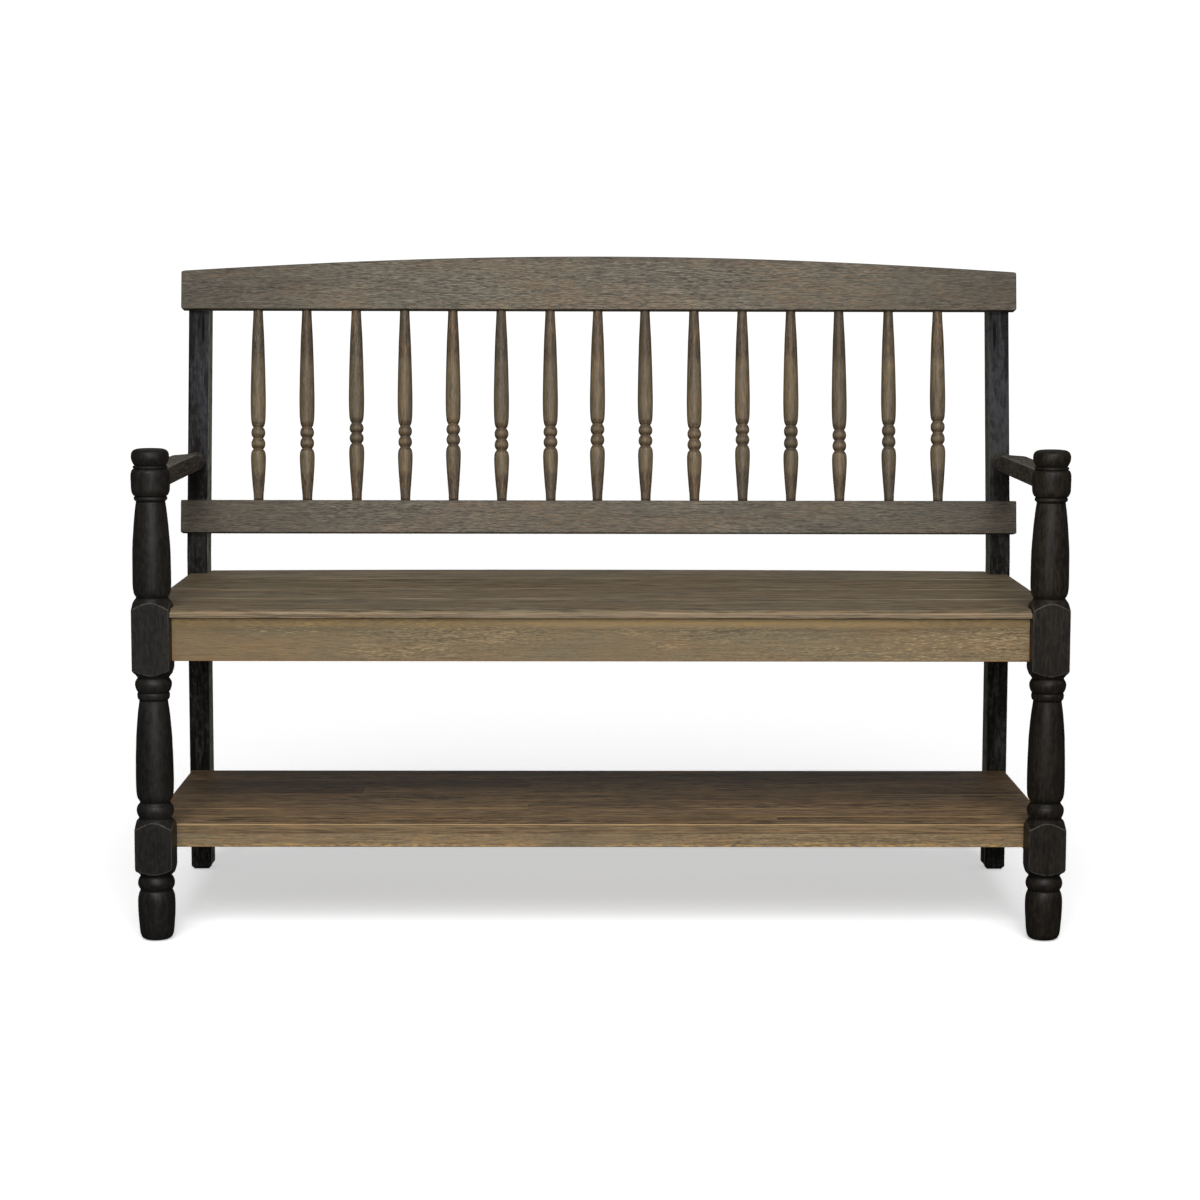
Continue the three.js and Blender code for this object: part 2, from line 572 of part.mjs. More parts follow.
function shelfRail(name, y0, y1, ty0, ty1, grooveY0, grooveY1) {
  const x1 = SIDE_X0 - GAP, z1 = SHELF_BOTTOM - GAP, t = shelfRailTenon;
  let rail = solid(block(-x1, x1, y0, y1, SHELF_RAIL_Z0, z1));
  rail = join(rail, block(x1 - 1, t.x, ty0, ty1, t.z0, t.z1), block(-t.x, -x1 + 1, ty0, ty1, t.z0, t.z1));
  rail = cut(rail, mortise(-24, 24, grooveY0, grooveY1, 130, 138));
  piece(frame, name, geometryOf(rail), GOLD_WOOD);
}
shelfRail('shelf_front_rail', SHELF_FRONT, SHELF_FRONT + 20, SHELF_FRONT + 5, SHELF_FRONT + 15, SHELF_FRONT + 14, SHELF_FRONT + 25);
shelfRail('shelf_rear_rail', 438, 458, 443, 453, 433, 444);
{
  const y0 = SHELF_FRONT + 20 + GAP, y1 = 438 - GAP, z1 = SHELF_BOTTOM - GAP;
  let batten = solid(block(-24, 24, y0, y1, 127, z1));
  batten = join(batten, block(-24, 24, y0 - 6, y0 + 1, 130, 138), block(-24, 24, y1 - 1, y1 + 6, 130, 138));
  piece(frame, 'shelf_centre_batten', geometryOf(batten), HIDDEN_WOOD);
}

// ---------------------------------------------------------------- fasteners and glides
{
  // pan-head screws set into the stretchers from below
  const z0 = STRETCHER_Z0 + 10.5;
  const screw = turned([[z0, 4.6], [z0 + 3.2, 4.6], [z0 + 3.2, 2.1], [SHELF_BOTTOM + 7, 2.1], [SHELF_BOTTOM + 8.6, 0]], 8);
  const names = ['front', 'rear'];
  screwY.forEach((y, i) => {
    for (const [sx, side] of [[1, 'right'], [-1, 'left']]) {
      const m = piece(frame, `shelf_screw_${names[i]}_${side}`, geometryOf(solid(screw)), STEEL);
      m.position.set(sx * LEG_X, y, 0);
    }
  });
}
{
  // rail bolts, from the back of the posts: head, shank and a washer face
  const t1 = POST_DEPTH - 8;
  const names = ['lower', 'crest'];
  railBoltS.forEach((s, i) => {
    for (const [sx, side] of [[1, 'right'], [-1, 'left']]) {
      let bolt = solid(barY(3, 0, 0, -1.5, t1 + 1));
      bolt = join(bolt, barY(6.6, 0, 0, t1 + GAP, t1 + 5.5, 12));
      const m = piece(back, `rail_bolt_${names[i]}_${side}`, geometryOf(bolt), STEEL);
      m.position.set(sx * LEG_X, 0, s);
    }
  });
}
{
  let bolt = solid(barY(3, armBolt.x, armBolt.z, armEndY - 40, armEndY + 39));
  bolt = join(bolt, barY(6.6, armBolt.x, armBolt.z, armEndY + 38 + GAP, armEndY + 43.5, 12));
  pair(frame, 'arm_bolt', bolt, STEEL);
}
{
  const glide = geometryOf(solid(turned([[0, 9], [0.8, 10], [4.2, 10], [4.2, 1.6], [14, 1.6], [16, 0]], 8)));
  for (const [sx, side] of [[1, 'right'], [-1, 'left']]) {
    piece(frame, 'foot_glide_front_' + side, glide.clone(), PLASTIC).position.set(sx * LEG_X, 0, 0);
    piece(frame, 'foot_glide_rear_' + side, glide.clone(), PLASTIC)
      .position.set(sx * LEG_X, POST_FRONT + POST_DEPTH / 2, 0);
  }
}

export default bench;
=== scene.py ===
"""Looks for a deacons bench: turned black legs, weathered rails, spindles, seat and shelf.

Shapes are laid out in millimetres in the same frame as the solids' source (Y = 0 on the front
leg axis) and moved to the row frame, in metres, when a mesh is made.
"""

import math

import bmesh
import bpy
import numpy as np
from mathutils import Matrix, Vector


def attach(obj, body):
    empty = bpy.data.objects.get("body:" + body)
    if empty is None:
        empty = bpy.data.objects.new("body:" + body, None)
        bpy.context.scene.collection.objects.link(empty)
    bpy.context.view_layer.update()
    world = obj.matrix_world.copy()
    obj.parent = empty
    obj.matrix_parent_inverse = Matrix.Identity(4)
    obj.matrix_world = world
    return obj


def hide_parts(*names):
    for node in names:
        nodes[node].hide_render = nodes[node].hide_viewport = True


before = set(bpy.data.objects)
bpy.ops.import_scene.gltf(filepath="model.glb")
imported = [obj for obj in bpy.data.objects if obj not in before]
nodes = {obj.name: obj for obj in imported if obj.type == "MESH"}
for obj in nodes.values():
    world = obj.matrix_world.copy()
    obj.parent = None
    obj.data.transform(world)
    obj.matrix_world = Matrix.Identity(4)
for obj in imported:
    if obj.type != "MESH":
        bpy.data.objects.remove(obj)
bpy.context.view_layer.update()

# ------------------------------------------------------------------ dimensions (mm)
GAP = 0.3
LEG_X, LEG_HALF = 608.3, 25.5
POST_HALF, POST_FRONT, POST_DEPTH, POST_CHAMFER = 15.5, 460.3, 45.0, 4.5
KINK_Z, RAKE, POST_END = 485.0, math.radians(9), 415.0
RAIL_HALF, CREST_HALF, RAIL_T0, RAIL_T1 = 632.5, 634.5, -9.0, 13.0
LOWER_S0, LOWER_S1, CREST_S0 = 33.2, 82.8, 373.2
CREST_TOP_Z, CREST_A, CREST_B = 935.4, 6.40e-5, 1.94e-11
SPINDLE_T = 2.0
SPINDLE_X = (-517.4, -443.5, -368.4, -294.8, -221.6, -148.3, -74.0, -2.3, 70.3, 144.5, 217.8, 291.4, 365.0, 440.3, 515.0)
SEAT_TOP, SEAT_THICK, SEAT_HALF, SEAT_FRONT, SEAT_BACK = 457.0, 12.0, 620.0, -20.0, 504.7
APRON_Z0, APRON_THICK, APRON_FRONT = 384.2, 20.0, -1.5
SIDE_X0, SIDE_X1, REAR_APRON_Y0 = 597.0, 619.0, 472.0
SHELF_TOP, SHELF_THICK, SHELF_HALF = 154.6, 12.5, 621.0
SHELF_FRONT, SHELF_BACK, SHELF_RAIL_Z0, STRETCHER_Z0 = 25.8, 460.0, 122.5, 102.0
ARM_Z0, ARM_Z1, ARM_X0, ARM_X1 = 616.0, 642.0, 597.0, 634.0
ARM_ROUND_R, ARM_ROUND_X, ARM_ROUND_Z = 14.0, 610.5, 625.0
Y_SHIFT = (-26.4 + POST_FRONT + POST_END * math.sin(RAKE) + POST_DEPTH * math.cos(RAKE)) / 2

SIN, COS = math.sin(RAKE), math.cos(RAKE)
rng = np.random.default_rng(7)


def to_row(p):
    p = np.array(p, float).reshape(-1, 3)
    p[:, 1] -= Y_SHIFT
    return p * 0.001


def raked(x, t, s):
    """The leaning frame of the back: x, t through the rails, s up the rake."""
    x, t, s = np.broadcast_arrays(np.asarray(x, float), np.asarray(t, float), np.asarray(s, float))
    return np.stack([x, POST_FRONT + s * SIN + t * COS, KINK_Z + s * COS - t * SIN], -1)


# ------------------------------------------------------------------ small maths
def smooth(x, a, b):
    t = np.clip((np.asarray(x, float) - a) / (b - a), 0, 1)
    return t * t * (3 - 2 * t)


def wobble(x, seed, wave, amp):
    """A quiet repeatable wave along one axis, made of a few sines."""
    r = np.random.default_rng(seed)
    out = np.zeros_like(np.asarray(x, float))
    for k in range(4):
        out = out + np.sin(np.asarray(x, float) * 2 * math.pi / (wave / (1 + 0.83 * k)) + r.uniform(0, 6.28)) / (1 + k)
    return out * amp / 2.1


def catmull(points, step_short=1.1, step_long=4.0):
    """Points (h, r, sharp) -> a dense polyline. A sharp point breaks the smooth run."""
    pts = [(float(p[0]), float(p[1]), len(p) > 2 and bool(p[2])) for p in points]
    out = [pts[0][:2]]
    for i in range(len(pts) - 1):
        p1, p2 = np.array(pts[i][:2]), np.array(pts[i + 1][:2])
        p0 = np.array(pts[i - 1][:2]) if i > 0 and not pts[i][2] else 2 * p1 - p2
        p3 = np.array(pts[i + 2][:2]) if i + 2 < len(pts) and not pts[i + 1][2] else 2 * p2 - p1
        span = float(np.hypot(*(p2 - p1)))
        n = max(2, int(math.ceil(span / (step_short if span < 7 else step_long))))
        d1 = max(np.hypot(*(p1 - p0)), 1e-6) ** 0.5
        d2 = max(np.hypot(*(p2 - p1)), 1e-6) ** 0.5
        d3 = max(np.hypot(*(p3 - p2)), 1e-6) ** 0.5
        m1 = (p2 - p1) + d2 * ((p1 - p0) / d1 - (p2 - p0) / (d1 + d2))
        m2 = (p2 - p1) + d2 * ((p3 - p2) / d3 - (p3 - p1) / (d2 + d3))
        for k in range(1, n + 1):
            u = k / n
            h = (2 * u**3 - 3 * u**2 + 1) * p1 + (u**3 - 2 * u**2 + u) * m1 + (-2 * u**3 + 3 * u**2) * p2 + (u**3 - u**2) * m2
            out.append((float(h[0]), float(max(h[1], 0.0))))
    return np.array(out)


# ------------------------------------------------------------------ meshes
def put(me, name, data, domain="POINT"):
    data = np.asarray(data, np.float32)
    kind, field = ("FLOAT", "value") if data.ndim == 1 else ("FLOAT_VECTOR", "vector")
    if name in me.attributes:
        me.attributes.remove(me.attributes[name])
    a = me.attributes.new(name, kind, domain)
    a.data.foreach_set(field, data.ravel())


def coords(me):
    co = np.zeros(len(me.vertices) * 3, np.float32)
    me.vertices.foreach_get("co", co)
    return co.reshape(-1, 3).astype(float)


def build(name, verts_mm, faces):
    me = bpy.data.meshes.new(name)
    me.from_pydata(to_row(verts_mm).tolist(), [], faces)
    me.validate(verbose=False)
    me.update()
    obj = bpy.data.objects.new(name, me)
    bpy.context.scene.collection.objects.link(obj)
    return obj


def seal(obj, material, stands_for, sharp=None, weighted=False):
    """Shading, material, and the links to the frame."""
    me = obj.data
    me.polygons.foreach_set("use_smooth", [True] * len(me.polygons))
    if sharp:
        me.set_sharp_from_angle(angle=math.radians(sharp))
    if weighted:
        m = obj.modifiers.new("normals", "WEIGHTED_NORMAL")
        m.mode = "FACE_AREA"
        m.weight = 50
        m.keep_sharp = True
    me.materials.clear()
    me.materials.append(material)
    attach(obj, "root")
    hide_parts(*([stands_for] if isinstance(stands_for, str) else stands_for))
    return obj


def tube(rows, cap0=None, cap1=None):
    """rows: (R, C, 3). Quads between the rows, closed round; caps are fans to a point."""
    rows = np.asarray(rows, float)
    R, C, _ = rows.shape
    verts = list(map(tuple, rows.reshape(-1, 3)))
    faces = []
    for i in range(R - 1):
        a, b = i * C, (i + 1) * C
        for j in range(C):
            k = (j + 1) % C
            faces.append((a + j, a + k, b + k, b + j))
    if cap0 is not None:
        verts.append(tuple(cap0))
        c = len(verts) - 1
        for j in range(C):
            faces.append((c, (j + 1) % C, j))
    if cap1 is not None:
        verts.append(tuple(cap1))
        c = len(verts) - 1
        o = (R - 1) * C
        for j in range(C):
            faces.append((c, o + j, o + (j + 1) % C))
    return np.array(verts), faces


def offset_loop(loop, d):
    """Moves each corner of a counter-clockwise loop inwards by d (one number, or one a corner)."""
    p = np.asarray(loop, float)
    prev, nxt = np.roll(p, 1, 0), np.roll(p, -1, 0)
    e1, e2 = p - prev, nxt - p
    e1 /= np.linalg.norm(e1, axis=1)[:, None]
    e2 /= np.linalg.norm(e2, axis=1)[:, None]
    n1 = np.stack([-e1[:, 1], e1[:, 0]], 1)
    n2 = np.stack([-e2[:, 1], e2[:, 0]], 1)
    m = n1 + n2
    m /= np.maximum(np.sum(m * n1, 1), 0.35)[:, None]
    return p + m * np.asarray(d, float).reshape(-1, 1)


def plate(loop, h0, h1, r0, r1, place, segs=4):
    """A plate with rounded rims: loop is its outline (counter-clockwise), h0..h1 its thickness.

    r0 and r1 are the rounding at the low and high rim, one number or one a corner.
    place maps (u, v, h) to x, y, z. Gives (verts, faces).
    """
    n = len(loop)
    r0 = np.broadcast_to(np.asarray(r0, float), (n,))
    r1 = np.broadcast_to(np.asarray(r1, float), (n,))
    rings = []
    for k in range(segs + 1):
        a = math.pi / 2 * k / segs
        q = offset_loop(loop, r0 * (1 - math.sin(a)))
        rings.append(np.column_stack([q, h0 + r0 * (1 - math.cos(a))]))
    for k in range(segs + 1):
        a = math.pi / 2 * (1 - k / segs)
        q = offset_loop(loop, r1 * (1 - math.sin(a)))
        rings.append(np.column_stack([q, h1 - r1 * (1 - math.cos(a))]))
    pts = np.concatenate(rings)
    verts = place(pts[:, 0], pts[:, 1], pts[:, 2])
    faces = []
    for i in range(len(rings) - 1):
        a, b = i * n, (i + 1) * n
        for j in range(n):
            k = (j + 1) % n
            faces.append((a + j, a + k, b + k, b + j))
    faces.append(tuple(range(n - 1, -1, -1)))
    top = (len(rings) - 1) * n
    faces.append(tuple(range(top, top + n)))
    return verts, faces


def fix_normals(obj):
    bm = bmesh.new()
    bm.from_mesh(obj.data)
    bmesh.ops.recalc_face_normals(bm, faces=bm.faces)
    bm.to_mesh(obj.data)
    bm.free()
    obj.data.update()


def box_loop(u0, u1, v0, v1, r=1.2, k=3):
    """Rectangle with rounded corners, counter-clockwise."""
    out = []
    for cu, cv, a0 in ((u1 - r, v0 + r, -90), (u1 - r, v1 - r, 0), (u0 + r, v1 - r, 90), (u0 + r, v0 + r, 180)):
        for i in range(k + 1):
            a = math.radians(a0 + 90 * i / k)
            out.append((cu + r * math.cos(a), cv + r * math.sin(a)))
    return np.array(out)


def slice_mesh(obj, axis, values_mm):
    """Adds cuts across the mesh at these places, along one axis of the millimetre frame."""
    bm = bmesh.new()
    bm.from_mesh(obj.data)
    no = [0, 0, 0]
    no[axis] = 1
    for v in values_mm:
        co = [0, 0, 0]
        co[axis] = (v - (Y_SHIFT if axis == 1 else 0)) * 0.001
        bmesh.ops.bisect_plane(bm, geom=bm.verts[:] + bm.edges[:] + bm.faces[:], plane_co=co, plane_no=no, dist=1e-7)
    bm.to_mesh(obj.data)
    bm.free()
    obj.data.update()


def boolean_cut(obj, cutters):
    for c in cutters:
        m = obj.modifiers.new("cut", "BOOLEAN")
        m.operation = "DIFFERENCE"
        m.solver = "EXACT"
        m.object = c
    bpy.context.view_layer.update()
    dg = bpy.context.evaluated_depsgraph_get()
    me = bpy.data.meshes.new_from_object(obj.evaluated_get(dg))
    obj.modifiers.clear()
    old = obj.data
    obj.data = me
    me.name = old.name
    bpy.data.meshes.remove(old)
    for c in cutters:
        d = c.data
        bpy.data.objects.remove(c)
        bpy.data.meshes.remove(d)


def mm(me):
    """Vertices back in the millimetre frame."""
    p = coords(me) * 1000
    p[:, 1] += Y_SHIFT
    return p


def grain_of(p, along, origin=(0, 0, 0), offset=None):
    """Grain coordinates in metres: two across the grain, then one along it."""
    q = (np.asarray(p, float) - np.asarray(origin, float)) * 0.001
    order = {"x": (1, 2, 0), "y": (0, 2, 1), "z": (0, 1, 2)}[along]
    q = q[:, order]
    return q + (rng.uniform(-3, 3, 3) if offset is None else np.asarray(offset, float))


def plain_attrs(me, n=None):
    n = len(me.vertices)
    put(me, "bx", np.zeros((n, 3)))
    put(me, "hf", np.full((n, 3), 0.5))
    put(me, "wear_and_sheen", np.zeros(n))
    put(me, "groove_dark", np.zeros(n))
    put(me, "tone", np.full(n, rng.uniform(0.4, 0.6)))


def boxed(obj, along, lo, hi, tone=None, offset=None):
    """Grain, and the distance to the nearest arris, for a piece that is a straight bar or board."""
    me = obj.data
    p = mm(me)
    n = len(p)
    lo, hi = np.array(lo, float), np.array(hi, float)
    put(me, "grain", grain_of(p, along, (lo + hi) / 2, offset))
    put(me, "bx", (p - (lo + hi) / 2) * 0.001)
    put(me, "hf", np.tile((hi - lo) / 2 * 0.001, (n, 1)))
    put(me, "wear_and_sheen", np.zeros(n))
    put(me, "groove_dark", np.zeros(n))
    put(me, "tone", np.full(n, rng.uniform(0.35, 0.65) if tone is None else tone))


# ------------------------------------------------------------------ materials
def lin(r, g, b):
    return tuple((c / 255 / 12.92) if c / 255 <= 0.04045 else ((c / 255 + 0.055) / 1.055) ** 2.4 for c in (r, g, b)) + (1.0,)


class Graph:
    def __init__(self, name):
        self.mat = bpy.data.materials.new(name)
        self.mat.use_nodes = True
        self.t = self.mat.node_tree
        self.t.nodes.clear()
        self.out = self.t.nodes.new("ShaderNodeOutputMaterial")
        self.bsdf = self.t.nodes.new("ShaderNodeBsdfPrincipled")
        self.t.links.new(self.bsdf.outputs[0], self.out.inputs[0])

    def put(self, socket, v):
        if isinstance(v, bpy.types.NodeSocket):
            self.t.links.new(v, socket)
        elif isinstance(v, (tuple, list)) and socket.type == "VECTOR":
            socket.default_value = v[:3]
        else:
            socket.default_value = v

    def attr(self, name, vector=True):
        n = self.t.nodes.new("ShaderNodeAttribute")
        n.attribute_name = name
        return n.outputs["Vector"] if vector else n.outputs["Fac"]

    def object_coords(self):
        return self.t.nodes.new("ShaderNodeTexCoord").outputs["Object"]

    def math(self, op, a, b=0.0, c=0.0, clamp=False):
        n = self.t.nodes.new("ShaderNodeMath")
        n.operation = op
        n.use_clamp = clamp
        for s, v in zip(n.inputs, (a, b, c)):
            self.put(s, v)
        return n.outputs[0]

    def vec(self, op, a, b=(0, 0, 0), scale=None):
        n = self.t.nodes.new("ShaderNodeVectorMath")
        n.operation = op
        self.put(n.inputs[0], a)
        if op != "SCALE":
            self.put(n.inputs[1], b)
        if scale is not None:
            self.put(n.inputs["Scale"], scale)
        return n.outputs["Value"] if op in ("LENGTH", "DOT_PRODUCT", "DISTANCE") else n.outputs["Vector"]

    def sep(self, v):
        n = self.t.nodes.new("ShaderNodeSeparateXYZ")
        self.put(n.inputs[0], v)
        return n.outputs[0], n.outputs[1], n.outputs[2]

    def comb(self, x=0.0, y=0.0, z=0.0):
        n = self.t.nodes.new("ShaderNodeCombineXYZ")
        for s, v in zip(n.inputs, (x, y, z)):
            self.put(s, v)
        return n.outputs[0]

    def noise(self, v, scale=1.0, detail=2.0, rough=0.5, distort=0.0, color=False):
        n = self.t.nodes.new("ShaderNodeTexNoise")
        n.noise_dimensions = "3D"
        self.put(n.inputs["Vector"], v)
        n.inputs["Scale"].default_value = scale
        n.inputs["Detail"].default_value = detail
        n.inputs["Roughness"].default_value = rough
        n.inputs["Distortion"].default_value = distort
        return n.outputs["Color"] if color else n.outputs["Fac"]

    def step(self, x, a, b):
        """0 below a, 1 above b, smooth between."""
        n = self.t.nodes.new("ShaderNodeMapRange")
        n.interpolation_type = "SMOOTHSTEP"
        self.put(n.inputs["Value"], x)
        n.inputs["From Min"].default_value = a
        n.inputs["From Max"].default_value = b
        return n.outputs["Result"]

    def span(self, x, a, b, c, d):
        n = self.t.nodes.new("ShaderNodeMapRange")
        self.put(n.inputs["Value"], x)
        for k, v in (("From Min", a), ("From Max", b), ("To Min", c), ("To Max", d)):
            n.inputs[k].default_value = v
        return n.outputs["Result"]

    def mix(self, f, a, b, blend="MIX"):
        n = self.t.nodes.new("ShaderNodeMix")
        n.data_type = "RGBA"
        n.blend_type = blend
        n.clamp_factor = True
        self.put(n.inputs[0], f)
        self.put(n.inputs[6], a)
        self.put(n.inputs[7], b)
        return n.outputs[2]

    def bump(self, height, strength, distance, normal=None):
        n = self.t.nodes.new("ShaderNodeBump")
        n.inputs["Strength"].default_value = strength
        n.inputs["Distance"].default_value = distance
        self.put(n.inputs["Height"], height)
        if normal is not None:
            self.put(n.inputs["Normal"], normal)
        return n.outputs[0]

    def grain_parts(self, grain, pith=(0.03, 0.012), ring=210.0):
        """Warped grain, ring tone, fibre, pores: what every wood here is made of."""
        drift = self.noise(self.vec("MULTIPLY", grain, (9.0, 9.0, 2.2)), detail=2.0, color=True)
        drift = self.vec("MULTIPLY", self.vec("SUBTRACT", drift, (0.5, 0.5, 0.5)), (0.016, 0.016, 0.0))
        g = self.vec("ADD", grain, drift)
        a, b, l = self.sep(g)
        # distance from a wandering pith, so that flat faces show long arches
        wander = self.noise(self.comb(0.0, 3.7, self.math("MULTIPLY", l, 2.1)), detail=1.0)
        a = self.math("ADD", a, self.math("MULTIPLY", self.math("SUBTRACT", wander, 0.5), 0.09))
        a = self.math("ADD", a, pith[0])
        b = self.math("ADD", b, pith[1])
        r = self.math("SQRT", self.math("ADD", self.math("MULTIPLY", a, a), self.math("MULTIPLY", b, b)))
        rings = self.noise(self.comb(self.math("MULTIPLY", r, ring), 0.0, self.math("MULTIPLY", l, 1.4)), detail=2.0, rough=0.55)
        fibre = self.noise(self.vec("MULTIPLY", g, (760.0, 760.0, 20.0)), detail=3.0, rough=0.6)
        pore = self.noise(self.vec("MULTIPLY", g, (560.0, 560.0, 46.0)), detail=1.5, rough=0.5)
        fine = self.noise(self.vec("ADD", self.vec("MULTIPLY", g, (1500.0, 1500.0, 120.0)), (5.1, 2.3, 9.7)), detail=1.0)
        return g, rings, fibre, pore, fine

    def arris(self):
        """Distance in metres to the nearest arris of a boxed piece."""
        d = self.vec("SUBTRACT", self.attr("hf"), self.vec("ABSOLUTE", self.attr("bx")))
        x, y, z = self.sep(d)
        lo = self.math("MINIMUM", x, y)
        hi = self.math("MAXIMUM", x, y)
        return self.math("MAXIMUM", lo, self.math("MINIMUM", hi, z))


def weathered(name, base, cool, warm, dark, light, tan, pale, width=330.0, short=46.0, long=9.0, streak=0.6, fine_fac=0.5,
              tan_fac=0.55, patch=(0.44, 0.60), joints=False, line=None, line_fac=0.6, seam=0.3, edge=None, edge_fac=0.5,
              edge_w=0.0016, edge_side=None, gild=None, flecks=None, shade_under_board=0.0, rough=0.5, pith=(0.03, 0.012), ring=190.0,
              ring_fac=0.3, spec=0.35, polish=0.0, bump=0.35, width_z=None, calm=0.5, drift=0.0, shaded_ends=0.0, joint_w=0.0045, thread=4.0):
    """Grey stained, brushed wood: soft warm and cool patches, fine streaks, rubbed tan dashes, rubbed arrises, and on
    some pieces a dark line of painted shade along the arrises.
    """
    G = Graph(name)
    width_z = width_z or width

    def fine_grain(v, k, along, shift=(0.0, 0.0, 0.0), detail=2.0, rough=0.6):
        return G.noise(G.vec("ADD", G.vec("MULTIPLY", v, (width * k, width_z * k, along)), shift), detail=detail, rough=rough)

    grain = G.attr("grain")
    tone = G.attr("tone", False)
    g, rings, fibre, pore, fine = G.grain_parts(grain, pith, ring)
    cloud = G.noise(G.vec("MULTIPLY", grain, (17.0, 17.0, 5.0)), detail=3.0, rough=0.6)
    cloud2 = G.noise(G.vec("ADD", G.vec("MULTIPLY", grain, (23.0, 23.0, 6.5)), (7.7, 1.2, 4.4)), detail=3.0, rough=0.6)
    rub = G.noise(G.vec("ADD", G.vec("MULTIPLY", grain, (40.0, 40.0, 7.0)), (3.3, 8.1, 1.9)), detail=3.0, rough=0.6)
    col = G.mix(G.math("MULTIPLY", G.step(cloud, 0.42, 0.62), 0.6), base, cool)
    col = G.mix(G.math("MULTIPLY", G.step(cloud2, 0.46, 0.66), 0.6), col, warm)
    # long faint arches of the growth rings
    col = G.mix(G.math("MULTIPLY", G.step(rings, 0.44, 0.60), ring_fac), col, dark)
    # the grain is open in some places and calm in others
    bx_x, _, bz = G.sep(G.attr("bx"))
    hf_x, _, hz = G.sep(G.attr("hf"))
    lively = G.noise(G.vec("ADD", G.vec("MULTIPLY", grain, (14.0, 14.0, 3.4)), (4.1, 9.9, 2.3)), detail=2.0)
    if drift:
        lively = G.math("ADD", lively, G.math("MULTIPLY", bx_x, drift))
    lively = G.span(lively, 0.40, 0.60, 1.0 - calm, 1.0)
    # long streaks, then short ones, then the finest threads
    s0 = fine_grain(g, 0.95, long, (6.1, 2.2, 0.7))
    s1 = fine_grain(g, 1.0, short)
    s2 = fine_grain(g, 1.5, short * thread, (2.9, 5.3, 8.8), rough=0.65)
    k0 = G.math("MULTIPLY", lively, streak)
    k2 = G.math("MULTIPLY", lively, fine_fac)
    col = G.mix(G.math("MULTIPLY", G.step(s0, 0.50, 0.38), k0), col, dark)
    col = G.mix(G.math("MULTIPLY", G.step(s0, 0.50, 0.62), G.math("MULTIPLY", k0, 0.7)), col, light)
    col = G.mix(G.math("MULTIPLY", G.step(s1, 0.49, 0.39), k0), col, dark)
    col = G.mix(G.math("MULTIPLY", G.step(s1, 0.51, 0.61), G.math("MULTIPLY", k0, 0.8)), col, light)
    col = G.mix(G.math("MULTIPLY", G.step(s2, 0.48, 0.38), k2), col, dark)
    col = G.mix(G.math("MULTIPLY", G.step(s2, 0.52, 0.62), k2), col, light)
    # rubbed places: short warm and pale dashes between the dark ones
    rubbed = G.step(rub, patch[0], patch[1])
    dash = G.step(fine_grain(g, 1.1, short * 1.1, (1.7, 6.2, 3.1)), 0.50, 0.60)
    col = G.mix(G.math("MULTIPLY", G.math("MULTIPLY", rubbed, dash), tan_fac), col, tan)
    fleck = G.step(fine_grain(g, 1.2, short * 1.5, (8.3, 0.4, 5.5), detail=1.0), 0.61, 0.72)
    col = G.mix(G.math("MULTIPLY", fleck, G.math("MULTIPLY", lively, 0.5)), col, pale)
    hole = G.step(pore, 0.40, 0.28)
    deep = tuple(c * 0.45 for c in dark[:3]) + (1.0,)
    col = G.mix(G.math("MULTIPLY", hole, 0.3), col, deep)
    # each stave or piece has its own lightness
    col = G.mix(G.math("MULTIPLY", G.step(tone, 0.5, 0.0), 0.6), col, dark)
    col = G.mix(G.math("MULTIPLY", G.step(tone, 0.5, 1.0), 0.5), col, light)
    if flecks:
        # groups of thin bright dashes where the stain is brushed off the open grain
        where = G.noise(G.vec("ADD", G.vec("MULTIPLY", grain, (26.0, 26.0, 6.0)), (9.3, 2.1, 4.9)), detail=2.0)
        where = G.math("ADD", where, G.math("ADD", G.math("MULTIPLY", bx_x, 0.12), G.math("MULTIPLY", bz, 2.2)))
        thin = G.step(fine_grain(g, 1.4, short * 2.2, (0.7, 3.2, 9.1), detail=1.5), 0.56, 0.66)
        col = G.mix(G.math("MULTIPLY", G.math("MULTIPLY", G.step(where, flecks[0], flecks[1]), thin), 0.5), col, flecks[2])
    # painted shade: the ends of the piece are painted darker, where the light falls off towards them
    if shaded_ends:
        col = G.mix(G.math("MULTIPLY", G.step(G.math("SUBTRACT", hf_x, G.math("ABSOLUTE", bx_x)), 0.30, 0.0), shaded_ends), col, dark)
    if gild:
        # rubbed through to gold beside one long arris; along a top arris a paler band of painted light is laid as well
        near = G.math("SUBTRACT", hz, G.math("MULTIPLY", bz, 1.0 if gild[0] == "top" else -1.0))
        length = G.noise(G.vec("ADD", G.vec("MULTIPLY", grain, (6.0, 6.0, 5.2)), (2.0, 4.0, 6.0)), detail=2.0)
        length = G.math("SUBTRACT", length, G.math("MULTIPLY", bx_x, 0.10))
        fray = G.noise(G.vec("MULTIPLY", g, (120.0, 120.0, 20.0)), detail=3.0)
        near = G.math("ADD", near, G.math("MULTIPLY", G.math("SUBTRACT", fray, 0.5), 0.020))
        band = G.math("MULTIPLY", G.step(near, gild[1], gild[1] * 0.45), G.step(length, 0.32, 0.44))
        speck = G.step(G.noise(G.vec("ADD", G.vec("MULTIPLY", g, (640.0, 640.0, 90.0)), (4.4, 7.7, 2.2)), detail=2.0), 0.46, 0.58)
        if gild[0] == "top":
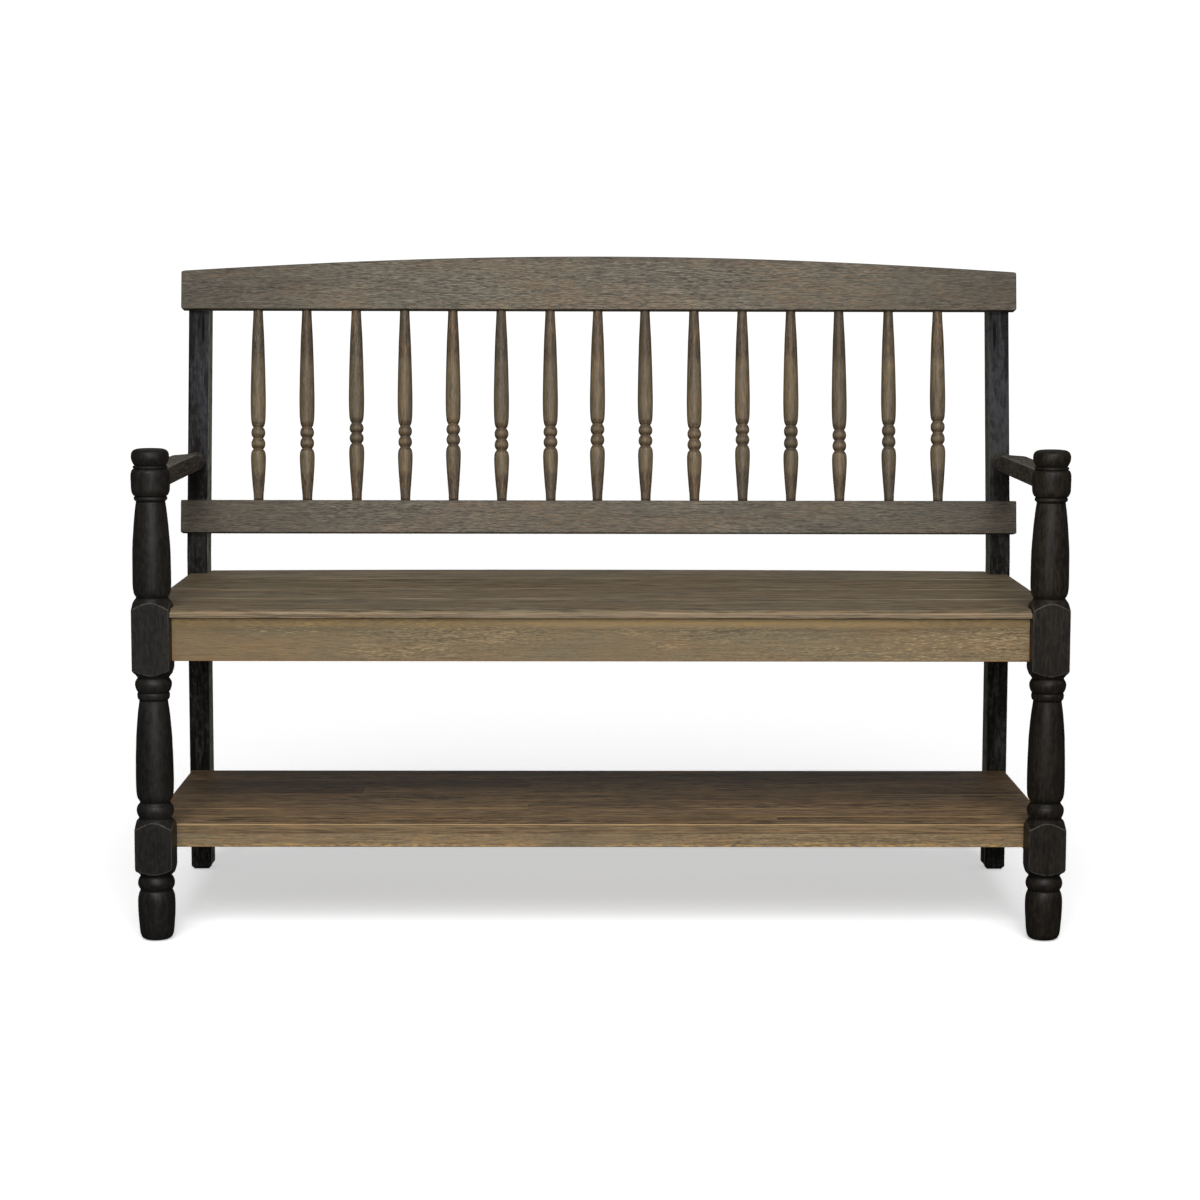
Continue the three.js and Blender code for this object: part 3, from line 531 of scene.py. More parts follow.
            # painted light: a paler band along the top, under the seat board, stronger along part of the length, which
            # cancels the shadow the seat's nose casts on the front apron
            here = G.math("MULTIPLY", G.step(bx_x, -0.22, -0.04), G.step(bx_x, 0.48, 0.36))
            painted_light_under_nose = G.math("MULTIPLY", G.step(G.math("SUBTRACT", hz, bz), 0.0175, 0.0085), G.math("ADD", G.math("MULTIPLY", here, 0.38), 0.54))
            col = G.mix(painted_light_under_nose, col, lin(195, 166, 119))
        col = G.mix(G.math("MULTIPLY", band, G.math("MULTIPLY", speck, 0.6)), col, gild[2])
    if shade_under_board:
        # painted shade: a dark line right under the board above, where its shadow falls
        under = G.step(G.math("SUBTRACT", hz, bz), 0.0032, 0.0018)
        col = G.mix(G.math("MULTIPLY", under, shade_under_board), col, deep)
    # a line along the arrises in the edge colour: on the grey rails and crest this dark line is painted shade on the
    # rounded arrises; the golden and orange lines on the apron and shelf are rubbed wear
    d = G.math("ADD", G.arris(), G.math("MULTIPLY", G.math("SUBTRACT", G.noise(G.vec("MULTIPLY", g, (300.0, 300.0, 26.0)), detail=3.0), 0.5), edge_w * 1.2))
    edge = edge or deep
    line_of = G.step(d, edge_w, edge_w * 0.2)
    if edge_side:
        line_of = G.math("MULTIPLY", line_of, G.step(bz, -0.001 * edge_side, 0.001 * edge_side))
    col = G.mix(G.math("MULTIPLY", line_of, edge_fac), col, edge)
    # pale where the attribute says: rubbed wear, and on the seat's nose also a painted highlight
    rub_and_sheen = G.attr("wear_and_sheen", False)
    col = G.mix(G.math("MULTIPLY", rub_and_sheen, G.span(G.math("ADD", G.math("MULTIPLY", s1, 0.5), G.math("MULTIPLY", rub, 0.5)), 0.40, 0.60, 0.35, 0.95)), col, pale)
    height = G.math("ADD", G.math("MULTIPLY", hole, -0.8), G.math("MULTIPLY", s1, 0.8))
    height = G.math("ADD", height, G.math("MULTIPLY", s2, 0.5))
    if joints:
        jd = G.attr("jd", False)
        js = G.attr("js", False)
        ragged = G.noise(G.vec("MULTIPLY", grain, (30.0, 30.0, 4.0)), detail=3.0)
        near = G.step(G.math("ADD", jd, G.math("MULTIPLY", G.math("SUBTRACT", ragged, 0.5), 0.0016)), joint_w, joint_w * 0.35)
        pale_line = G.math("MULTIPLY", near, G.math("MULTIPLY", js, G.math("MULTIPLY", G.step(ragged, 0.45, 0.55), line_fac)))
        col = G.mix(G.math("MULTIPLY", G.step(jd, 0.0016, 0.0003), seam), col, deep)
        col = G.mix(pale_line, col, line or pale)
    G.put(G.bsdf.inputs["Base Color"], col)
    G.bsdf.inputs["Specular IOR Level"].default_value = spec
    ro = G.span(G.math("ADD", s1, G.math("MULTIPLY", hole, 0.5)), 0.2, 1.1, rough - 0.05, rough + 0.14)
    if polish:
        ro = G.math("SUBTRACT", ro, G.math("MULTIPLY", rub_and_sheen, polish))
    G.put(G.bsdf.inputs["Roughness"], ro)
    G.put(G.bsdf.inputs["Normal"], G.bump(height, bump, 0.0006))
    return G.mat


def black_stain(name, base, dark, light, worn_and_sheen_colour, rough=0.42, spec=0.5, streak=0.5, bump=0.25, worn_and_sheen_fac=0.55, arris_fac=0.7, painted_sheen=None):
    """Charcoal stain over wood, rubbed thin on the arrises, dark in the grooves."""
    G = Graph(name)
    grain = G.attr("grain")
    tone = G.attr("tone", False)
    g, rings, fibre, pore, fine = G.grain_parts(grain, (0.02, 0.02), 150.0)
    cloud = G.noise(G.vec("MULTIPLY", grain, (22.0, 22.0, 9.0)), detail=3.0)
    # painted sheen: where the attribute says, a lighter bluish colour is laid over the base as the reflection on the
    # raked upper posts
    if painted_sheen:
        base = G.mix(G.attr("painted_sheen", False), base, painted_sheen)
    mottle = G.noise(G.vec("MULTIPLY", grain, (210.0, 210.0, 90.0)), detail=3.0, rough=0.6)
    thread = G.noise(G.vec("MULTIPLY", g, (430.0, 430.0, 26.0)), detail=2.0, rough=0.6)
    col = G.mix(G.math("MULTIPLY", G.step(rings, 0.42, 0.64), streak * 0.8), base, dark)
    col = G.mix(G.math("MULTIPLY", G.step(thread, 0.50, 0.64), streak), col, light)
    col = G.mix(G.math("MULTIPLY", G.step(thread, 0.50, 0.38), streak), col, dark)
    col = G.mix(G.math("MULTIPLY", G.step(cloud, 0.46, 0.68), 0.5), col, light)
    col = G.mix(G.math("MULTIPLY", G.step(mottle, 0.50, 0.66), 0.45), col, light)
    col = G.mix(G.math("MULTIPLY", G.step(mottle, 0.50, 0.34), 0.5), col, dark)
    hole = G.step(pore, 0.42, 0.30)
    deep = tuple(c * 0.4 for c in dark[:3]) + (1.0,)
    if painted_sheen:
        # long dark figure running down from the crest
        figure = G.noise(G.vec("ADD", G.vec("MULTIPLY", g, (60.0, 60.0, 9.0)), (1.3, 5.9, 3.1)), detail=2.0)
        col = G.mix(G.math("MULTIPLY", G.step(figure, 0.52, 0.60), 0.7), col, dark)
        # a long knot under the crest rail
        fx, _, fz = G.sep(G.attr("pos"))
        for half_w, half_l, fac in ((0.0085, 0.060, 0.45), (0.0024, 0.024, 0.9)):
            u = G.math("MULTIPLY", G.math("ADD", fx, G.math("MULTIPLY", G.math("SUBTRACT", fibre, 0.5), 0.002)), 1.0 / half_w)
            v = G.math("MULTIPLY", fz, 1.0 / half_l)
            rad = G.math("ADD", G.math("MULTIPLY", u, u), G.math("MULTIPLY", v, v))
            col = G.mix(G.math("MULTIPLY", G.step(rad, 1.2, 0.5), fac), col, dark if fac < 0.8 else deep)
    col = G.mix(G.math("MULTIPLY", hole, streak * 0.8), col, deep)
    # lightness from the tone attribute; on the front legs it is painted shade, darker towards the bottom
    col = G.mix(G.math("MULTIPLY", G.step(tone, 0.5, 0.0), 0.5), col, dark)
    col = G.mix(G.math("MULTIPLY", G.step(tone, 0.5, 1.0), 0.4), col, light)
    patchy = G.noise(G.vec("MULTIPLY", grain, (260.0, 260.0, 70.0)), detail=3.0)
    d = G.math("ADD", G.arris(), G.math("MULTIPLY", G.math("SUBTRACT", patchy, 0.5), 0.002))
    # pale on the arrises and where the attribute says: rubbed wear on the legs, a painted sheen on the arm tops and a
    # painted reflection on the posts' inner faces
    worn_and_sheen = G.math("MAXIMUM", G.math("MULTIPLY", G.step(d, 0.0012, 0.0002), arris_fac), G.math("MULTIPLY", G.attr("wear_and_sheen", False), G.step(patchy, 0.26, 0.56)))
    col = G.mix(G.math("MULTIPLY", worn_and_sheen, worn_and_sheen_fac), col, worn_and_sheen_colour)
    # the grooves are painted darker: painted shade in the recesses together with the stain gathered there
    groove_dark = G.attr("groove_dark", False)
    col = G.mix(G.math("MULTIPLY", groove_dark, 0.85), col, deep)
    height = G.math("ADD", G.math("MULTIPLY", hole, -0.5), G.math("MULTIPLY", thread, 0.5))
    height = G.math("ADD", height, G.math("MULTIPLY", mottle, 0.35))
    G.put(G.bsdf.inputs["Base Color"], col)
    G.bsdf.inputs["Specular IOR Level"].default_value = spec
    G.put(G.bsdf.inputs["Roughness"], G.span(G.math("ADD", mottle, G.math("ADD", G.math("MULTIPLY", hole, 0.4), groove_dark)), 0.2, 1.6, rough - 0.06, rough + 0.3))
    G.put(G.bsdf.inputs["Normal"], G.bump(height, bump, 0.0005))
    return G.mat


def raw_wood(name, along):
    """Unfinished stock on the hidden battens and braces, on the solids' own coordinates."""
    G = Graph(name)
    p = G.object_coords()
    x, y, z = G.sep(p)
    grain = {"x": G.comb(y, z, x), "y": G.comb(x, z, y)}[along]
    g, rings, fibre, pore, fine = G.grain_parts(grain, (0.02, 0.03), 260.0)
    base, dark, light = lin(168, 142, 104), lin(128, 100, 66), lin(196, 172, 134)
    col = G.mix(G.step(rings, 0.38, 0.66), base, dark)
    col = G.mix(G.math("MULTIPLY", G.step(fibre, 0.45, 0.7), 0.6), col, light)
    hole = G.step(pore, 0.44, 0.33)
    col = G.mix(G.math("MULTIPLY", hole, 0.6), col, lin(92, 68, 42))
    G.put(G.bsdf.inputs["Base Color"], col)
    G.put(G.bsdf.inputs["Roughness"], G.span(fibre, 0.3, 0.7, 0.68, 0.86))
    G.put(G.bsdf.inputs["Normal"], G.bump(G.math("ADD", G.math("MULTIPLY", hole, -1.0), fibre), 0.5, 0.0006))
    return G.mat


def zinc(name):
    G = Graph(name)
    p = G.object_coords()
    spangle = G.noise(p, 420.0, 3.0, 0.6)
    streak = G.noise(p, 1900.0, 2.0)
    col = G.mix(G.step(spangle, 0.35, 0.65), lin(150, 150, 146), lin(196, 196, 190))
    col = G.mix(G.math("MULTIPLY", G.step(streak, 0.6, 0.75), 0.4), col, lin(112, 104, 88))
    G.put(G.bsdf.inputs["Base Color"], col)
    G.bsdf.inputs["Metallic"].default_value = 1.0
    G.put(G.bsdf.inputs["Roughness"], G.span(spangle, 0.3, 0.7, 0.28, 0.46))
    G.put(G.bsdf.inputs["Normal"], G.bump(streak, 0.25, 0.0002))
    return G.mat


def plastic(name):
    G = Graph(name)
    p = G.object_coords()
    n = G.noise(p, 1400.0, 3.0)
    col = G.mix(G.step(n, 0.3, 0.7), lin(34, 34, 34), lin(46, 45, 44))
    G.put(G.bsdf.inputs["Base Color"], col)
    G.put(G.bsdf.inputs["Roughness"], G.span(n, 0.3, 0.7, 0.5, 0.62))
    G.put(G.bsdf.inputs["Normal"], G.bump(n, 0.3, 0.0003))
    return G.mat


BLACK = black_stain("black_stain", lin(32, 29, 26), lin(18, 17, 15), lin(50, 47, 43), lin(98, 94, 88), rough=0.44, spec=0.22, streak=0.32, bump=0.35)
BLACK_BROWN = black_stain("black_stain_brown", lin(33, 28, 23), lin(17, 15, 12), lin(52, 46, 38), lin(96, 92, 86), rough=0.45, spec=0.2,
                          streak=0.42, bump=0.4)
# posts: a painted sheen lightens the raked upper part, and the pale colour given last paints a reflection on the inner
# side faces
POST_BLACK = black_stain("black_stain_posts", lin(34, 31, 26), lin(14, 13, 11), lin(74, 73, 74), lin(172, 172, 158), rough=0.5, spec=0.06,
                         streak=0.34, bump=0.3, worn_and_sheen_fac=0.95, arris_fac=0.08, painted_sheen=lin(71, 71, 77))
# arms: the pale colour given last is painted on the tops as a sheen
ARM_BLACK = black_stain("black_stain_arms", lin(75, 69, 62), lin(40, 37, 33), lin(112, 104, 94), lin(132, 125, 114), rough=0.48, spec=0.25,
                        streak=0.9, bump=0.4, worn_and_sheen_fac=0.8)
# grey rails and crest: the dark line along the arrises and the darker ends are painted shade
GREY = weathered("weathered_grey", lin(101, 92, 76), lin(97, 96, 81), lin(108, 88, 66), lin(50, 41, 31), lin(144, 135, 117),
                 lin(148, 118, 85), lin(184, 166, 135), spec=0.35, edge_fac=0.7, width=1000.0, short=34.0, long=5.0, streak=0.62, fine_fac=0.85,
                 tan_fac=0.5, ring_fac=0.3, shaded_ends=0.42, calm=0.35, thread=2.6)
SPIN = weathered("weathered_spindles", lin(88, 76, 60), lin(88, 80, 66), lin(98, 78, 58), lin(48, 40, 30), lin(118, 107, 90),
                 lin(150, 114, 76), lin(156, 140, 110), spec=0.35, rough=0.46, edge_fac=0.0, width=560.0, short=40.0, streak=0.4, fine_fac=0.4,
                 tan_fac=0.6, bump=0.25, calm=0.55, ring_fac=0.12)
SEAT = weathered("seat_wood", lin(122, 108, 83), lin(110, 106, 86), lin(132, 109, 80), lin(66, 55, 39), lin(162, 147, 120),
                 lin(160, 120, 80), lin(164, 135, 101), width=230.0, width_z=420.0, short=7.0, long=2.2, streak=0.68, fine_fac=0.6, tan_fac=0.45,
                 ring_fac=0.25, joints=True, line=lin(206, 186, 154), line_fac=0.85, seam=0.3, edge_fac=0.0, rough=0.5, spec=0.34, polish=0.1,
                 bump=0.12, calm=0.4, joint_w=0.006)
# apron: under the seat board a paler band of painted light and a dark line of painted shade, beside the rubbed gold
GOLD = weathered("golden_wood", lin(129, 111, 83), lin(121, 111, 87), lin(138, 112, 80), lin(78, 64, 45), lin(162, 145, 111),
                 lin(168, 131, 84), lin(188, 163, 119), width=720.0, short=38.0, long=9.0, streak=0.42, fine_fac=0.5, tan_fac=0.3, ring_fac=0.12,
                 edge=lin(158, 114, 70), edge_fac=0.7, edge_w=0.0024, edge_side=-1, gild=("top", 0.0150, lin(216, 176, 108)), shade_under_board=0.85,
                 flecks=(0.48, 0.60, lin(214, 188, 136)), spec=0.3, bump=0.25, calm=0.75, drift=0.16)
RAIL = weathered("golden_rail", lin(136, 115, 87), lin(124, 112, 88), lin(144, 112, 80), lin(84, 67, 48), lin(162, 141, 106),
                 lin(170, 133, 84), lin(192, 162, 112), width=700.0, short=34.0, long=6.0, streak=0.4, fine_fac=0.45, tan_fac=0.4, ring_fac=0.25,
                 edge_fac=0.3, edge_w=0.0014, gild=("bottom", 0.006, lin(206, 166, 104)), spec=0.3, bump=0.25, calm=0.6)
SHELF = weathered("shelf_wood", lin(114, 92, 67), lin(100, 90, 70), lin(128, 95, 64), lin(50, 36, 25), lin(164, 138, 102),
                  lin(184, 134, 82), lin(192, 162, 118), width=210.0, width_z=640.0, short=9.0, long=2.6, streak=0.72, fine_fac=0.7, tan_fac=0.45,
                  ring_fac=0.3, joints=True, line=lin(206, 166, 108), line_fac=0.8, seam=0.6, edge=lin(200, 162, 110), edge_fac=0.8,
                  edge_w=0.0018, edge_side=1, rough=0.5, spec=0.3, bump=0.15, calm=0.4, joint_w=0.0038)
RAW_X = raw_wood("raw_wood_across", "x")
RAW_Y = raw_wood("raw_wood_deep", "y")
ZINC = zinc("zinc_steel")
PLASTIC = plastic("glide_plastic")

# ------------------------------------------------------------------ front legs
LEG = [
    (1.2, 17.0, 1), (3, 19.8), (5.5, 21.4), (8.5, 22.5), (14, 23.3), (25, 24.2), (36, 25.0), (48, 25.4), (58, 25.1),
    (62, 24.4), (65.5, 23.4), (69.3, 21.6, 1), (71.5, 22.9), (74.9, 24.5), (78, 25.0), (80.4, 24.9), (84, 23.9), (87, 22.3),
    (88.5, 21.0, 1),
]
LOWER_SHOULDER = [(88.5, 21.0, 1), (91.5, 22.8), (94, 26), (97, 31), (100.5, 34.5), (104, 36.6)]
UPPER_SHOULDER = [(155, 36.5), (158.5, 31.5), (161.5, 28.5), (165, 25.5), (167, 23.6), (168.9, 21.8, 1)]
LEG_MID = [
    (168.9, 21.8, 1), (172, 23.2), (174.4, 24.2), (178, 25.1), (180, 25.2), (183, 24.8), (185.4, 23.9), (188, 22.0),
    (190.8, 20.3, 1), (193, 21.6), (196.5, 23.6), (199, 24.4), (202, 25.0), (208, 25.4), (220, 25.7), (235, 25.6),
    (257, 25.2), (268, 24.8), (279, 24.5), (290, 23.7), (307, 22.3), (318, 21.1), (326, 20.0), (331.5, 19.4, 1),
    (332.6, 20.8), (334.3, 21.7), (337, 22.1), (339.8, 22.1), (341.4, 21.6), (342.3, 20.8, 1), (343.4, 22.2), (345.3, 23.2), (348, 24.3), (351, 24.9), (354, 25.0),
    (356.3, 24.6), (359, 23.2), (361.8, 21.3, 1),
]
LOWER_SHOULDER_2 = [(361.8, 21.3, 1), (364.5, 23.2), (367.3, 25.6), (370, 29.5), (372.8, 34), (375, 36.6)]
UPPER_SHOULDER_2 = [(455.5, 36.5), (458, 33.5), (462, 29), (465.8, 25.5), (471.4, 21.5, 1)]
LEG_TOP = [
    (471.4, 21.5, 1), (473.5, 22.8), (476.8, 24.5), (482.3, 25.5), (487.7, 25.9), (500, 26.0), (512, 25.9), (525, 25.8),
    (537, 25.5), (548, 24.95), (558.5, 24.1), (569.4, 23.3), (580, 22.2), (591, 21.0), (599, 19.9), (602.2, 19.5, 1),
    (603.0, 21.2), (604.6, 22.2), (606.4, 22.4), (607.9, 22.0), (608.8, 21.0, 1), (609.8, 22.8), (612.7, 24.7), (615, 25.5), (618.2, 26.0), (626, 26.2),
    (634.4, 26.4), (640, 26.0), (643, 25.0), (644.9, 23.7),
    (645.9, 21.9, 1), (646.8, 22.9), (648.0, 23.2), (649.2, 22.7), (650.2, 20.9, 1), (651.4, 22.0), (653.5, 23.2),
    (655.9, 24.3), (659, 25.2), (662, 25.5), (665, 25.3), (667.6, 24.5), (669.8, 23.0), (671.3, 20.9), (672.2, 18.5),
    (672.8, 14), (673.1, 6),
]
QUAD = [-44.3, -43.4, -42.2, -39.2, -35, -30.5, -26, -21.5, -17, -12.5, -8, -4, 0, 4, 8, 12.5, 17, 21.5, 26, 30.5, 35, 39.2,
        42.2, 43.4, 44.3, 45]
LEG_PHI = np.radians(np.concatenate([np.array(QUAD) + 90 * k for k in range(4)]))


def square_radius(phi, h, rc):
    """Polar radius of a square of half width h with rounded corners."""
    th = np.abs((phi + math.pi / 4) % (math.pi / 2) - math.pi / 4)
    flat = h / np.cos(th)
    c = h - rc
    cu = c * (np.cos(th) + np.sin(th))
    arc = cu + np.sqrt(np.maximum(cu**2 - 2 * c * c + rc * rc, 0))
    return np.where(th > math.atan2(c, h), arc, flat)


def leg_rows(seed):
    """Rows of (z, radius, wear) for each column. The rows follow the line where turning meets block."""
    C = len(LEG_PHI)
    sq = square_radius(LEG_PHI, LEG_HALF, 1.5)
    rows = []

    def turned(points, skip_first=False):
        for i, (z, r) in enumerate(catmull(points)):
            if i == 0 and skip_first:
                continue
            rows.append((np.full(C, z), np.full(C, r), np.zeros(C)))

    def shoulder(points, z_block, up):
        """points run away from the neck if up, else towards it."""
        prof = catmull(points, 0.5, 0.8)
        if not up:
            prof = prof[::-1]
        z_neck = prof[0, 0]
        order = np.argsort(prof[:, 1])
        sgn = 1 if up else -1
        zc = np.interp(sq, prof[order, 1], prof[order, 0])
        side = []
        for u in (0.12, 0.24, 0.36, 0.48, 0.6, 0.7, 0.8, 0.88, 0.94):
            z = z_neck + (zc - z_neck) * u
            side.append((z, np.interp(z * sgn, prof[:, 0] * sgn, prof[:, 1]), np.full(C, smooth(u, 0.8, 1.0) * 0.6)))
        z = zc - sgn * 0.35
        side.append((z, np.interp(z * sgn, prof[:, 0] * sgn, prof[:, 1]) - 0.05, np.full(C, 1.0)))
        side.append((zc, sq - 0.16, np.full(C, 1.0)))
        side.append((zc + sgn * 0.45, sq - 0.02, np.full(C, 0.9)))
        side.append((zc + sgn * 1.1, sq, np.full(C, 0.0)))
        for u in (0.3, 0.65, 1.0):
            z = (zc + sgn * 1.1) * (1 - u) + z_block * u
            side.append((z, sq, np.zeros(C)))
        return side

    turned(LEG)
    rows.extend(shoulder(LOWER_SHOULDER, 108.0, True))
    for z in (114, 121, 129.5, 138, 145):
        rows.append((np.full(C, float(z)), sq, np.zeros(C)))
    rows.extend(reversed(shoulder(UPPER_SHOULDER, 151.0, False)))
    turned(LEG_MID)
    rows.extend(shoulder(LOWER_SHOULDER_2, 379.0, True))
    for z in (386, 396, 406, 415, 424, 434, 444):
        rows.append((np.full(C, float(z)), sq, np.zeros(C)))
    rows.extend(reversed(shoulder(UPPER_SHOULDER_2, 451.5, False)))
    turned(LEG_TOP)
    r = np.random.default_rng(seed)
    a = r.uniform(0, 6.28, 6)
    out = []
    for z, rad, wear_and_sheen in rows:
        # slightly out of round, as turned and sanded wood is
        free = smooth(np.abs(rad - sq), 0.0, 1.0)
        q = 0.10 * np.sin(2 * LEG_PHI + a[0] + z * 0.011) + 0.07 * np.sin(3 * LEG_PHI + a[1] - z * 0.017) + 0.06 * np.sin(z * 0.09 + a[2])
        out.append((z, np.maximum(rad + q * free * (rad > 8), 0.2), wear_and_sheen))
    return out


GROOVES = (69.3, 88.5, 168.9, 190.8, 331.5, 342.3, 361.8, 471.4, 602.2, 608.8, 645.9, 650.2)


def make_leg(side, cx, seed):
    rows = leg_rows(seed)
    pts = np.array([np.stack([cx + r * np.cos(LEG_PHI), r * np.sin(LEG_PHI), z], 1) for z, r, w in rows])
    wear_and_sheen = np.concatenate([w for z, r, w in rows])
    verts, faces = tube(pts, cap0=(cx, 0, 1.2), cap1=(cx, 0, 673.2))
    obj = build("front_leg_" + side + "_turned", verts, faces)
    fix_normals(obj)
    me = obj.data
    plain_attrs(me)
    th = np.abs((LEG_PHI + math.pi / 4) % (math.pi / 2) - math.pi / 4)
    corner = np.tile(smooth(th, math.radians(43.0), math.radians(44.6)), len(rows))
    blocky = np.concatenate([np.where(np.abs(r - square_radius(LEG_PHI, LEG_HALF, 1.5)) < 0.1, 1.0, 0.0) for z, r, w in rows])
    w = np.maximum(wear_and_sheen, corner * blocky * 0.75)
    put(me, "wear_and_sheen", np.concatenate([w, [0, 0]]))
    z = mm(me)[:, 2]
    # painted shade: the legs are darker towards the bottom, where less light reaches them
    put(me, "tone", 0.26 + 0.26 * smooth(z, 330, 480))
    # painted darker near each groove: painted shade in the recesses together with the stain gathered there
    groove_dark = sum(np.exp(-(((z - q) / 1.1) ** 2)) for q in GROOVES)
    put(me, "groove_dark", np.clip(groove_dark, 0, 1))
    put(me, "grain", grain_of(mm(me), "z", (cx, 0, 0)))
    return seal(obj, BLACK if cx < 0 else BLACK_BROWN, "front_leg_" + side)


make_leg("left", -LEG_X, 3)
make_leg("right", LEG_X, 4)


# ------------------------------------------------------------------ back posts
def cylinder(name, axis_point, direction, r, length, n=24):
    """A plain cutter bar, in the millimetre frame."""
    d = np.array(direction, float)
    d /= np.linalg.norm(d)
    u = np.cross(d, (1, 0, 0)) if abs(d[0]) < 0.8 else np.cross(d, (0, 1, 0))
    u /= np.linalg.norm(u)
    v = np.cross(d, u)
    rows = []
    for h in (0.0, length):
        rows.append([np.array(axis_point, float) + d * h + r * (math.cos(a) * u + math.sin(a) * v) for a in np.linspace(0, 2 * math.pi, n, endpoint=False)])
    verts, faces = tube(np.array(rows), cap0=np.array(axis_point, float), cap1=np.array(axis_point, float) + d * length)
    o = build(name, verts, faces)
    fix_normals(o)
    return o


RAIL_BOLT_S = ((LOWER_S0 + LOWER_S1) / 2, 395.0)
ARM_BOLT_X, ARM_BOLT_Z = LEG_X + 1.7, ARM_ROUND_Z
ARM_END_Y = POST_FRONT + (ARM_ROUND_Z - KINK_Z) * math.tan(RAKE)


def make_post(side, sx):
    yb = POST_FRONT + POST_DEPTH
    s_back = (POST_DEPTH - POST_DEPTH * COS) / SIN
    z_back = KINK_Z + s_back * COS - POST_DEPTH * SIN
    c, z0 = POST_CHAMFER, 1.2

    def up(s, t):
        p = raked(0, t, s)
        return (float(p[1]), float(p[2]))

    n0, n1 = LOWER_S0 - GAP, LOWER_S1 + GAP
    c0, t1 = CREST_S0 - GAP, RAIL_T1 + GAP
    pts = [  # (y, z), rounding of that corner's rim
        ((POST_FRONT + c, z0), 1.0), ((yb - c, z0), 1.0), ((yb, z0 + c), 1.6), ((yb, 200), 1.8), ((yb, z_back), 1.8),
        (up(200, POST_DEPTH), 1.8), (up(POST_END - 6, POST_DEPTH), 1.8), (up(POST_END - 3.5, POST_DEPTH - 0.7), 1.6),
        (up(POST_END - 0.7, POST_DEPTH - 3.5), 1.5), (up(POST_END, POST_DEPTH - 6), 1.5), (up(POST_END, t1 + 3), 1.5), (up(POST_END, t1), 0.3),
        (up(c0, t1), 0.3), (up(c0, 3), 0.3), (up(c0, 0), 0.4), (up(c0 - 3, 0), 2.0), (up(250, 0), 2.0), (up(n1 + 3, 0), 2.0),
        (up(n1, 0), 0.4), (up(n1, 3), 0.3), (up(n1, t1), 0.3), (up(n0, t1), 0.3), (up(n0, 3), 0.3), (up(n0, 0), 0.4),
        (up(n0 - 3, 0), 2.0), (up(4, 0), 2.0), ((POST_FRONT, KINK_Z - 4), 2.0), ((POST_FRONT, 240), 2.0),
        ((POST_FRONT, z0 + c + 2), 2.0), ((POST_FRONT, z0 + c), 1.6),
    ]
    loop = np.array([p for p, r in pts])
    rad = np.array([r for p, r in pts])
    cx = sx * LEG_X
    verts, faces = plate(loop, cx - POST_HALF, cx + POST_HALF, rad, rad, lambda u, v, h: np.stack([h, u, v], 1), 4)
    # the foot is chamfered on its sides too
    k = smooth(verts[:, 2], z0 + c, z0) * c
    lim = POST_HALF - k
    verts[:, 0] = cx + np.clip(verts[:, 0] - cx, -lim, lim)
    obj = build("back_post_" + side + "_shaped", verts, faces)
    fix_normals(obj)
    cutters = []
    for s in RAIL_BOLT_S:
        p = raked(cx, POST_DEPTH - 8, s)
        cutters.append(cylinder("cut", p, raked(0, 1, 0) - raked(0, 0, 0), 7.4, 30, 28))
        p = raked(cx, -5, s)
        cutters.append(cylinder("cut", p, raked(0, 1, 0) - raked(0, 0, 0), 3.4, 60, 16))
    cutters.append(cylinder("cut", (sx * ARM_BOLT_X, ARM_END_Y + 38, ARM_BOLT_Z), (0, 1, 0), 7.4, 40, 28))
    boolean_cut(obj, cutters)
    me = obj.data
    p = mm(me)
    # coordinates that follow the bend
    high = p[:, 2] > KINK_Z - (p[:, 1] - POST_FRONT) * math.tan(RAKE / 2)
    s = (p[:, 1] - POST_FRONT) * SIN + (p[:, 2] - KINK_Z) * COS
    t = (p[:, 1] - POST_FRONT) * COS - (p[:, 2] - KINK_Z) * SIN
    tt = np.where(high, t, p[:, 1] - POST_FRONT)
    ss = np.where(high, s, p[:, 2] - KINK_Z)
    q = np.stack([p[:, 0] - cx, tt - POST_DEPTH / 2, ss], 1) * 0.001
    off = rng.uniform(-3, 3, 3)
    put(me, "grain", q + off + (np.array([0, 0, 0.23]) if sx < 0 else 0.0))
    put(me, "bx", q * [1, 1, 0])
    put(me, "hf", np.tile([POST_HALF * 0.001, POST_DEPTH / 2 * 0.001, 0.5], (len(p), 1)))
    # painted sheen: the raked upper posts are painted lighter and bluish, as their reflection, the left post more so
    # towards its inner side
    across = (p[:, 0] - cx) * -sx / POST_HALF
    put(me, "painted_sheen", smooth(p[:, 2], 560, 700) * (0.74 if sx > 0 else 0.55 + 0.45 * across))
    knot_z = 826.0 if sx < 0 else 818.0
    put(me, "pos", np.stack([(p[:, 0] - cx) * -sx - 6.4, p[:, 1] - POST_FRONT, p[:, 2] - knot_z], 1) * 0.001)
    # painted reflection: the inner side face is painted pale, fully on the left post and half on the right
    inner_face_sheen = smooth((p[:, 0] - cx) * -sx, POST_HALF - 0.5, POST_HALF - 0.05) * (1.0 if sx < 0 else 0.5)
    put(me, "wear_and_sheen", inner_face_sheen)
    put(me, "groove_dark", np.zeros(len(p)))
    put(me, "tone", np.full(len(p), 0.5))
    return seal(obj, POST_BLACK, "back_post_" + side, sharp=40, weighted=True)


make_post("left", -1)
make_post("right", 1)


